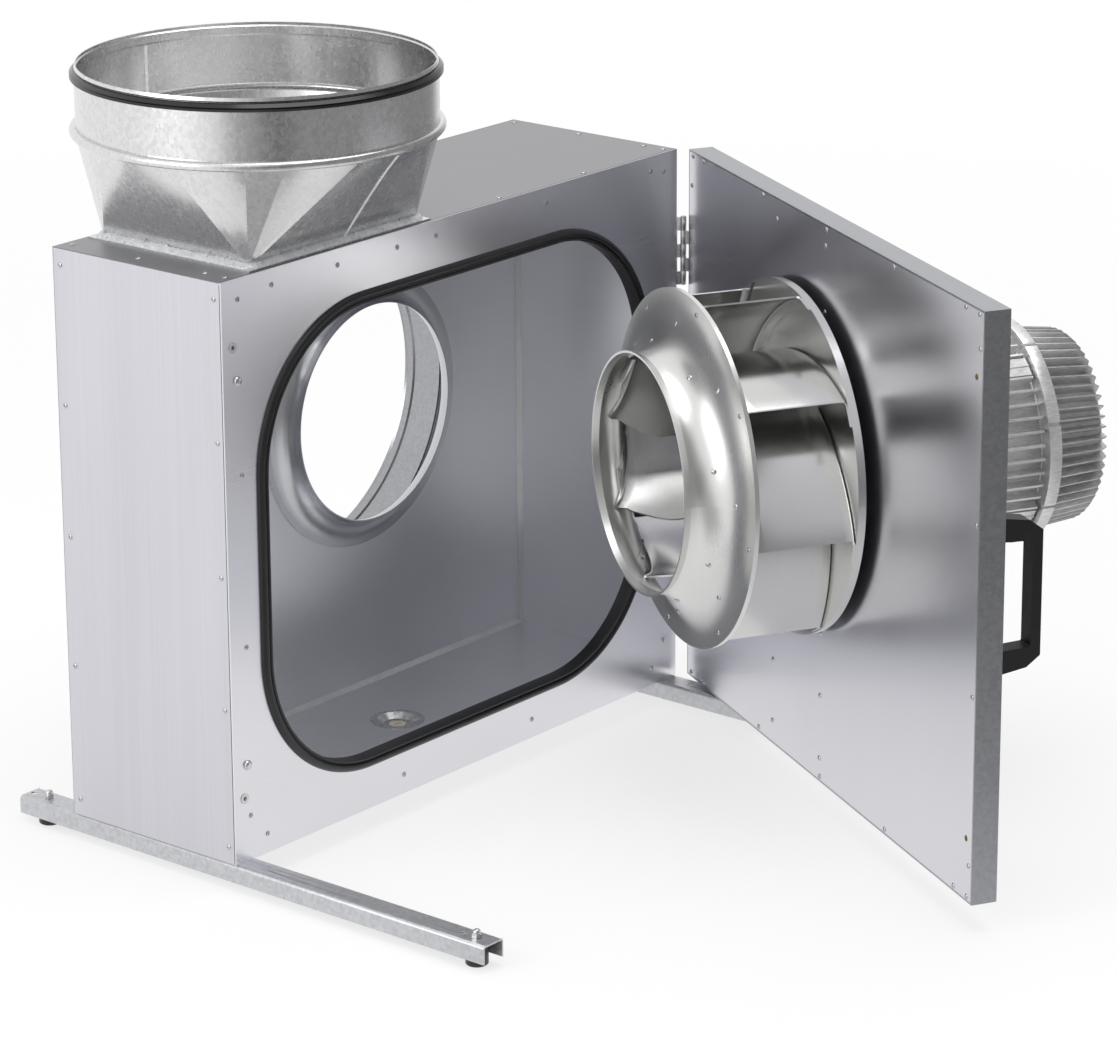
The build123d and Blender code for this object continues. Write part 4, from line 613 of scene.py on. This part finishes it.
# Air bubbles that stand in the sealant: one tree scatters a blob over a bead
bubbleTree, given = startTree("bubblesOnBead", {
    "Bead": "Object", "Bubble": "Object", "Per Square Metre": "Float", "Smallest": "Float",
    "Largest": "Float", "Seed": "Int", "Finish": "Material"}, "Bubbles")
beadShape = addNode(bubbleTree, "GeometryNodeObjectInfo", None, {"Object": given["Bead"]})
bubbleShape = addNode(bubbleTree, "GeometryNodeObjectInfo", None, {"Object": given["Bubble"]})
spots = addNode(bubbleTree, "GeometryNodeDistributePointsOnFaces", None, {
    "Mesh": beadShape.outputs["Geometry"], "Density": given["Per Square Metre"], "Seed": given["Seed"]})
bubbleSize = addNode(bubbleTree, "FunctionNodeRandomValue", {"data_type": "FLOAT"}, {
    "Min_001": given["Smallest"], "Max_001": given["Largest"], "Seed": given["Seed"]})
blobs = addNode(bubbleTree, "GeometryNodeInstanceOnPoints", None, {
    "Points": spots, "Instance": bubbleShape.outputs["Geometry"],
    "Scale": bubbleSize})
endTree(bubbleTree, blobs, given["Finish"], "Bubbles")

bubbles = {"Per Square Metre": 9000, "Smallest": 0.5, "Largest": 1.7, "Seed": 4}
bubbleBlob = lathe("bubbleBlob", [
    (0.2, -0.95), (0.7, -0.7), (1, 0), (0.7, 0.7), (0.2, 0.95)], segments=10)
bubbleHolder = applyTree(newObject("sealantBubbles"), bubbleTree, {
    **bubbles, "Bead": sealantBead, "Bubble": bubbleBlob, "Finish": finishes["jointSealant"]})
fitted(bubbleHolder, "housing")
bpy.data.objects.remove(bubbleBlob)
print("bubbles set")

# Impeller blade: one sheet bent over at the back plate and at the curved cover, with rounded bends
blade = {
    "count": 8, "tipAngle": 33.4, "tipRadius": 201.5, "exitAngle": 29, "curveRadius": 223, "noseRadius": 126,
    "eyeNoseRadius": 135, "sheet": 2, "bend": 3.2, "flange": 14.5, "plateFace": 19.7, "coverRunRadius": 200,
    "coverRun": 63, "coverRise": 47.3, "eyeDepth": 190, "coverSheet": 2.6, "coverDepth": 142.7,
    "flangeRuns": 3, "bendTurns": (0, 30, 60, 90), "webRuns": 12, "columns": 36, "easeFrom": 0.55,
    "flangeFrom": 0.6, "flangeSetBack": {"back": 1.5, "cover": 5}, "smoothTo": 60}
curveX = blade["tipRadius"] - blade["curveRadius"] * math.cos(math.radians(blade["exitAngle"]))
curveY = -blade["curveRadius"] * math.sin(math.radians(blade["exitAngle"]))
curveReach = math.hypot(curveX, curveY)
curveTurn = math.atan2(curveY, curveX)


def bladePoint(radius, offset, depth):
    # a point of the curved sheet, offset towards the centre of its curve
    curve = blade["curveRadius"] - offset
    cosine = (radius ** 2 + curveReach ** 2 - curve ** 2) / (2 * radius * curveReach)
    turn = curveTurn + math.acos(max(-1, min(1, cosine)))
    return (radius * math.cos(turn) * mm, radius * math.sin(turn) * mm, depth * mm)


def underCover(radius):
    # depth of the cover's inner face, less half the blade's sheet
    gap = blade["coverSheet"] + blade["sheet"] / 2
    if radius >= blade["coverRunRadius"]:
        return blade["coverDepth"] - gap
    share = (blade["coverRunRadius"] - radius) / (blade["coverRun"] + gap)
    return blade["eyeDepth"] - (blade["coverRise"] + gap) * math.sqrt(max(0.0, 1 - share ** 2))


def bladeMesh():
    # rows of points across the sheet: flange and bend at the back plate, web, bend and flange at the cover
    bend, runs, columns = blade["bend"], blade["flangeRuns"], blade["columns"]
    backFace = blade["plateFace"] + blade["sheet"] / 2
    flange = [(bend + i * (blade["flange"] - bend) / runs, 0.0) for i in range(runs, 0, -1)]
    turns = [math.radians(turn) for turn in blade["bendTurns"]]
    flange += [(bend * (1 - math.sin(turn)), bend * (1 - math.cos(turn))) for turn in turns]
    rows = [(offset, "back", rise) for offset, rise in flange]
    rows += [(0.0, "web", share / blade["webRuns"]) for share in range(1, blade["webRuns"])]
    rows += [(offset, "cover", rise) for offset, rise in reversed(flange)]
    vertices = []
    for offset, part, rise in rows:
        high = {"back": 0.0, "web": rise, "cover": 1.0}[part]
        ease = max(0.0, (high - blade["easeFrom"]) / (1 - blade["easeFrom"]))
        nose = blade["noseRadius"] + (
            blade["eyeNoseRadius"] - blade["noseRadius"]) * ease ** 2 * (3 - 2 * ease)
        if offset > bend * blade["flangeFrom"]:
            nose += blade["flangeSetBack"][part]
        for i in range(columns + 1):
            radius = blade["tipRadius"] + (nose - blade["tipRadius"]) * i / columns
            top = underCover(radius)
            if part == "back":
                depth = backFace + rise
            elif part == "cover":
                depth = top - rise
            else:
                depth = backFace + bend + (top - backFace - 2 * bend) * rise
            vertices.append(bladePoint(radius, offset, depth))
    sheet = newObject("bladeSheet", vertices, (), bands(len(rows), columns + 1, False))
    smoothed(sheet.data, blade["smoothTo"])
    thicken = sheet.modifiers.new("sheet", "SOLIDIFY")
    thicken.thickness = blade["sheet"] * mm
    thicken.offset = 0
    return plainMesh(sheet)


bladeSheet = bladeMesh()
bladePlaces = roundAxis(toInlet, blade["count"], blade["tipAngle"])
fitted(setHeads("impellerBlades", bladeSheet, bladePlaces, "bladeSheet"), "rotor",
       ["impeller_blades"])
print("blades bent")

# Motor cap: a cast cup with sharp ribs that stand higher towards its shoulder
motorCap = {"ribs": 56, "ribCrest": 1.6, "ribFoot": 7.4, "ribRoot": 2, "cupSegments": 112, "bossAlong": 291,
            "bossRadius": 15, "bossReach": 119, "bossLength": 17, "bossSegments": 32}
cupOutline = [(267, 104), (300, 103), (318, 101), (328, 98.5), (334, 96), (337, 93)]
ribOutline = [(267, 118.9), (300, 115.2), (329, 111.9), (337, 104.9)]
ribStops = (267.05, 282, 300, 315, 324, 329, 332, 334.5, 336.9)


def outlineAt(outline, depth):
    for (near, first), (far, last) in zip(outline, outline[1:]):
        if depth <= far:
            return first + (last - first) * (depth - near) / (far - near)
    return outline[-1][1]


def placedCopy(shape, thing, facing, sideways, origin):
    # add the thing's mesh to the shape, with its z along facing and its x along sideways
    copied = thing.data.copy()
    copied.transform(Matrix.Translation(origin) @ poseFrom(facing, sideways).to_matrix().to_4x4())
    shape.from_mesh(copied)
    bpy.data.meshes.remove(copied)


ribVertices = []
for depth in ribStops:
    low, high = outlineAt(cupOutline, depth) - motorCap["ribRoot"], outlineAt(ribOutline, depth)
    ribVertices += [(radius * mm, side * width / 2 * mm, depth * mm) for radius, side, width in (
        (low, -1, motorCap["ribFoot"]), (low, 1, motorCap["ribFoot"]),
        (high, 1, motorCap["ribCrest"]), (high, -1, motorCap["ribCrest"]))]
ribEnd = tuple(range(len(ribVertices) - 4, len(ribVertices)))
capRib = newObject("capRib", ribVertices, (), bands(len(ribStops), 4) + [(3, 2, 1, 0), ribEnd])
ribs = setHeads("capRibs", capRib, roundAxis(outOfDoor, motorCap["ribs"]), "castCap")
capCup = lathe("capCup", [(radius, depth) for depth, radius in cupOutline], motorCap["cupSegments"])
capBoss = lathe("capBoss", [
    (motorCap["bossRadius"], -motorCap["bossLength"]), (motorCap["bossRadius"], -1),
    (motorCap["bossRadius"] - 1, 0)], motorCap["bossSegments"])
shape = shapeOf(ribs)
placedCopy(shape, capCup, outOfDoor, alongDoor, fanCentre)
placedCopy(shape, capBoss, -up, alongDoor,
           fanCentre + outOfDoor * motorCap["bossAlong"] * mm - up * motorCap["bossReach"] * mm)
for face in shape.faces:
    face.material_index = 0
outwardMesh(shape, ribs)
dress(ribs, "castCap")
ribs.name = "motorCap"
fitted(ribs, "door", ["motor_end_cap"])
print("motor cap ribbed")

for helper in (rivetHead, tailHead, hingeHead, capHead, acornNut, bladeSheet, capRib, capCup, capBoss):
    bpy.data.objects.remove(helper)

# Outlet transition: one sheet creased from each corner of its foot to the round mouth
transition = {"foot": (270, 216), "footRise": 1.5, "mouthRadius": 199, "mouthRise": 112, "sheet": 1,
              "flatTurn": 30, "cornerTurns": (7, 17, 12, 17, 7), "rows": 20, "ease": 4, "flatColumns": 12,
              "cornerColumns": 6, "flange": 12, "throat": (250, 182), "throatShift": -7, "throatDrop": 31,
              "throatOverlap": 0.2, "crease": 5}
outletFoot = Vector((outletMiddle.x, outletMiddle.y, beadLow.z)) / mm  # on the roof, under the outlet
outletFoot.z -= transition["footRise"]


def mouthPoint(turn):
    return Vector((transition["mouthRadius"] * math.cos(math.radians(turn)),
                   transition["mouthRadius"] * math.sin(math.radians(turn)), transition["mouthRise"]))


def facetPoint(footA, footB, turnA, turnB, along, rise):
    # flat from the foot almost to the mouth, where the facet eases into the round
    chord = mouthPoint(turnA).lerp(mouthPoint(turnB), along)
    arc = mouthPoint(turnA + (turnB - turnA) * along)
    point = footA.lerp(footB, along).lerp(chord, rise) + (arc - chord) * rise ** transition["ease"]
    return (point + outletFoot) * mm


def addFacet(shape, footA, footB, turnA, turnB, columns):
    rows = transition["rows"]
    grid = [[shape.verts.new(facetPoint(footA, footB, turnA, turnB, i / columns, j / rows))
             for i in range(columns + 1)] for j in range(rows + 1)]
    for j in range(rows):
        for i in range(columns):
            if j == 0 and footA == footB:  # the facet starts in a point
                shape.faces.new((grid[0][i], grid[1][i + 1], grid[1][i]))
            else:
                shape.faces.new((grid[j][i], grid[j][i + 1], grid[j + 1][i + 1], grid[j + 1][i]))


def addRing(shape, outer, inner, shift, low, high):
    # rectangular ring or tube: half sizes outside and inside, its hole shifted along y
    def corners(half, moved, level):
        return [shape.verts.new((outletFoot + Vector((x * half[0], y * half[1] + moved, level))) * mm)
                for x, y in square]
    loops = [corners(*outer, low), corners(*outer, high), corners(inner, shift, high),
             corners(inner, shift, low)]
    for here, after in zip(loops, loops[1:] + loops[:1]):
        for i in range(4):
            shape.faces.new((here[i], here[(i + 1) % 4], after[(i + 1) % 4], after[i]))


footHalf, throatHalf = [[size / 2 for size in transition[part]] for part in ("foot", "throat")]
footCorners = [Vector((x * footHalf[0], y * footHalf[1], transition["footRise"])) for x, y in square]
shape = bmesh.new()
for quarter in range(4):
    start = 90 * quarter - transition["flatTurn"] / 2
    turn = start + transition["flatTurn"]
    corner = footCorners[(quarter + 2) % 4]
    addFacet(shape, footCorners[(quarter + 1) % 4], corner, start, turn, transition["flatColumns"])
    for width in transition["cornerTurns"]:
        addFacet(shape, corner, corner, turn, turn + width, transition["cornerColumns"])
        turn += width
bmesh.ops.remove_doubles(shape, verts=shape.verts, dist=sameSpot)
creased = outwardMesh(shape, newObject("outletTransition"))
thicken = creased.modifiers.new("sheet", "SOLIDIFY")
thicken.thickness = transition["sheet"] * mm
thicken.offset = 1  # an open sheet's faces come out pointing into the duct
shape = shapeOf(plainMesh(creased))
flangeHalf = [half + transition["flange"] for half in footHalf]
throatHole = [half - transition["sheet"] for half in throatHalf]
shift = transition["throatShift"]
addRing(shape, (flangeHalf, 0), throatHole, shift, 0, transition["footRise"])
addRing(shape, (throatHalf, shift), throatHole, shift,
        -transition["throatDrop"], transition["throatOverlap"])
outwardMesh(shape, creased)
dress(creased, "ductZinc")
fitted(creased, "housing", ["outlet_transition"])
smoothed(creased.data, transition["crease"])
print("transition creased")

# Lock seams of the rolled duct parts: a flat strip inside the collar, one down the front of the transition
ductSeam = {"width": 5, "thick": 0.9, "collarTurn": 82, "collarRadius": 198, "collarLow": 803,
            "collarHigh": 865, "frontWidth": 2.8, "frontThick": 1.0, "frontFoot": 0.55,
            "frontTop": 0.57, "frontRuns": 8, "frontStart": 0.02, "frontRise": 0.97}
strip = {"crown": 0.8, "sunk": 0.3}


def addStrip(shape, start, end, width, thick, facing):
    # a flat bar with chamfered sides between two points, standing thick above its sheet
    run = (end - start).normalized()
    side = run.cross(facing).normalized() * width / 2
    rise = facing.normalized() * thick
    section = [-side, side, side * strip["crown"] + rise, -side * strip["crown"] + rise]
    ends = [[shape.verts.new(point + step - rise * strip["sunk"]) for step in section]
            for point in (start, end)]
    for i in range(4):
        after = (i + 1) % 4
        shape.faces.new((ends[0][i], ends[0][after], ends[1][after], ends[1][i]))
    shape.faces.new(reversed(ends[0]))
    shape.faces.new(ends[1])


shape = bmesh.new()
turn = math.radians(ductSeam["collarTurn"])
inward = Vector((-math.cos(turn), -math.sin(turn), 0))
wall = outletMiddle - inward * ductSeam["collarRadius"] * mm
wall.z = 0
addStrip(shape, wall + up * ductSeam["collarLow"] * mm, wall + up * ductSeam["collarHigh"] * mm,
         ductSeam["width"] * mm, ductSeam["thick"] * mm, inward)
frontStops = []
frontTurns = [270 + half * transition["flatTurn"] / 2 for half in (-1, 1)]
for i in range(ductSeam["frontRuns"] + 1):
    share = i / ductSeam["frontRuns"]
    across = ductSeam["frontFoot"] + (ductSeam["frontTop"] - ductSeam["frontFoot"]) * share
    frontStops.append(facetPoint(*footCorners[:2], *frontTurns, across,
                                 ductSeam["frontStart"] + ductSeam["frontRise"] * share))
for start, end in zip(frontStops, frontStops[1:]):
    addStrip(shape, start, end, ductSeam["frontWidth"] * mm, ductSeam["frontThick"] * mm,
             (end - start).cross(-eastward))
seams = outwardMesh(shape, newObject("ductSeams"))
# painted highlight: the seam strips wear a near-white tone
dress(seams, "seamEdgeHighlight")
fitted(seams, "housing")
print("duct seams laid")

# Painted shadow: dark lines where the front frame meets the folded sides and the roof
jointLine = {"width": 1.0, "thick": 0.12, "inset": 2.4, "end": 1.5}
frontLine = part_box("front_frame")[0].y + jointLine["inset"] * mm
roofLine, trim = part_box("casing_roof")[1].z, jointLine["end"] * mm
shape = bmesh.new()
for start, end, facing in (
        ((wrapLow.x, wrapLow.z + trim), (wrapLow.x, wrapHigh.z - trim), -eastward),
        ((wrapHigh.x, wrapLow.z + trim), (wrapHigh.x, wrapHigh.z - trim), eastward),
        ((wrapLow.x + trim, roofLine), (wrapHigh.x - trim, roofLine), up)):
    addStrip(shape, Vector((start[0], frontLine, start[1])), Vector((end[0], frontLine, end[1])),
             jointLine["width"] * mm, jointLine["thick"] * mm, facing)
lines = outwardMesh(shape, newObject("jointLines"))
dress(lines, "jointShadow")
fitted(lines, "housing")
print("joint lines laid")

# Studio: white floor and sky, soft boxes at the left and overhead. Gloss sees the room go dark past the
# right front, as a studio does, so the sheets get their gradients
studio = {"floorColour": "#fafafa", "floorSize": 14.0, "floorDrop": 0.0005, "floorRough": 0.9,
          "skyDiffuse": 0.8, "floorGlow": 0.7, "glowReach": (0.8, 3.5),
          "darkWay": (0.48, -0.87, 0), "darkLevel": 0.27, "skyLobe": (-0.05, 0.5), "floorReach": (0.3, 1.7),
          "shadeReach": (0.25, 0.7), "shadeLevel": 0.85, "standWay": (-0.76, -0.65, 0),
          "standLobe": (0.9, 0.985), "standLevel": 0.42, "standNear": (0.5, 1.05)}
softBoxes = {
    "leftSoftbox": {"place": (-3.2, 0.6, 1.6), "aim": (-0.3, 0, 0.4), "size": (1.6, 2.2), "power": 30},
    "overheadSoftbox": {"place": (0.2, -0.6, 3.2), "aim": (0, -0.1, 0.4), "size": (2.4, 1.6), "power": 30}}


def roomLight(tree, place, reach):
    # 1 in the bright part of the room, dark along the dark way and a little where the camera stands
    along = addNode(tree, "ShaderNodeVectorMath", {"operation": "DOT_PRODUCT", 1: studio["darkWay"]}, {
        0: place})
    heading = addNode(tree, "ShaderNodeVectorMath", {"operation": "NORMALIZE"}, {0: place})
    stand = addNode(tree, "ShaderNodeVectorMath", {"operation": "DOT_PRODUCT", 1: studio["standWay"]}, {
        0: heading})
    away = addNode(tree, "ShaderNodeVectorMath", {"operation": "LENGTH"}, {0: place})
    bright, near, aside = [addNode(tree, "ShaderNodeMapRange", {
        "interpolation_type": "SMOOTHSTEP", "From Min": start, "From Max": end, "To Min": 1.0,
        "To Max": low}, {"Value": value}) for value, (start, end), low in (
            (along, reach, studio["darkLevel"]), (away, studio["standNear"], 0.0),
            (stand, studio["standLobe"], studio["standLevel"]))]
    patch = addNode(tree, "ShaderNodeMath", {"operation": "MAXIMUM"}, {0: near, 1: aside})
    return addNode(tree, "ShaderNodeMath", {"operation": "MULTIPLY"}, {0: bright, 1: patch})


half = studio["floorSize"] / 2
floor = newObject("studioFloor", [(x * half, y * half, -studio["floorDrop"]) for x, y in square],
                  (), [(0, 1, 2, 3)])
floorMaterial, tree, shader, place = startMaterial("paleFloor")
shader.inputs["Base Color"].default_value = linear(studio["floorColour"])
shader.inputs["Roughness"].default_value = studio["floorRough"]
rays = addNode(tree, "ShaderNodeLightPath")
reach = addNode(tree, "ShaderNodeVectorMath", {"operation": "LENGTH"}, {0: place})
fade = addNode(tree, "ShaderNodeMapRange", {
    "From Min": studio["glowReach"][0], "From Max": studio["glowReach"][1], "To Min": studio["floorGlow"]}, {
    "Value": reach})
glowShare = addNode(tree, "ShaderNodeMath", {"operation": "MULTIPLY"}, {
    0: rays.outputs["Is Camera Ray"], 1: fade})
glow = addNode(tree, "ShaderNodeEmission", {"Color": (1, 1, 1, 1), "Strength": 1.0})
seen = addNode(tree, "ShaderNodeMixShader", None, {0: glowShare, 1: shader, 2: glow})
# for gloss the floor is a glow, not a lit surface: a painted reflection of the room, with painted shadow
# close round the object
underShade = addNode(tree, "ShaderNodeMapRange", {
    "From Min": studio["shadeReach"][0], "From Max": studio["shadeReach"][1],
    "To Min": studio["shadeLevel"]}, {"Value": reach})
level = addNode(tree, "ShaderNodeMath", {"operation": "MULTIPLY"}, {
    0: roomLight(tree, place, studio["floorReach"]), 1: underShade})
far = addNode(tree, "ShaderNodeEmission", {"Color": (1, 1, 1, 1)}, {"Strength": level})
mixed = addNode(tree, "ShaderNodeMixShader", None, {0: rays.outputs["Is Glossy Ray"], 1: seen, 2: far})
tree.links.new(outputOf(mixed), tree.nodes["Material Output"].inputs["Surface"])
floorMaterial.cycles.emission_sampling = "NONE"
floor.data.materials.append(floorMaterial)

world = bpy.data.worlds.new("studioWorld")
bpy.context.scene.world = world
world.use_nodes = True
tree = world.node_tree
tree.nodes.clear()
rays = addNode(tree, "ShaderNodeLightPath")
heading = addNode(tree, "ShaderNodeTexCoord").outputs["Generated"]
dim = addNode(tree, "ShaderNodeBackground", {"Color": (1, 1, 1, 1), "Strength": studio["skyDiffuse"]})
room = addNode(tree, "ShaderNodeBackground", {"Color": (1, 1, 1, 1)}, {
    "Strength": roomLight(tree, heading, studio["skyLobe"])})
white = addNode(tree, "ShaderNodeBackground", {"Color": (1, 1, 1, 1), "Strength": 1.0})
glossy = addNode(tree, "ShaderNodeMixShader", None, {0: rays.outputs["Is Glossy Ray"], 1: dim, 2: room})
seen = addNode(tree, "ShaderNodeMath", {"operation": "MAXIMUM"}, {
    0: rays.outputs["Is Camera Ray"], 1: rays.outputs["Is Transmission Ray"]})
mixed = addNode(tree, "ShaderNodeMixShader", None, {0: seen, 1: glossy, 2: white})
addNode(tree, "ShaderNodeOutputWorld", None, {"Surface": mixed})

camera = {"place": (-3.6793, -3.2831, 1.9062), "yaw": 50.623, "pitch": -16.914, "roll": 0.287,
          "lens": 144.17, "sensor": 36, "shiftDown": 0.08, "clipEnd": 50}
cameraData = bpy.data.cameras.new("photoCamera")
cameraData.sensor_width = camera["sensor"]
cameraData.lens = camera["lens"]
cameraData.shift_y = -camera["shiftDown"]
cameraData.clip_end = camera["clipEnd"]
cameraObject = linked("photoCamera", cameraData)
cameraObject.matrix_world = (
    Matrix.Translation(camera["place"])
    @ Matrix.Rotation(-math.radians(camera["yaw"]), 4, "Z")
    @ Matrix.Rotation(math.radians(90 + camera["pitch"]), 4, "X")
    @ Matrix.Rotation(-math.radians(camera["roll"]), 4, "Z"))
bpy.context.scene.camera = cameraObject

for name, box in softBoxes.items():
    lampData = bpy.data.lights.new(name, "AREA")
    lampData.shape = "RECTANGLE"
    lampData.size, lampData.size_y = box["size"]
    lampData.energy = box["power"]
    lamp = linked(name, lampData)
    lamp.location = box["place"]
    lamp.rotation_mode = "QUATERNION"
    lamp.rotation_quaternion = (Vector(box["aim"]) - Vector(box["place"])).to_track_quat("-Z", "Y")
bpy.context.scene.view_settings.view_transform = "Standard"
print("studio ready")
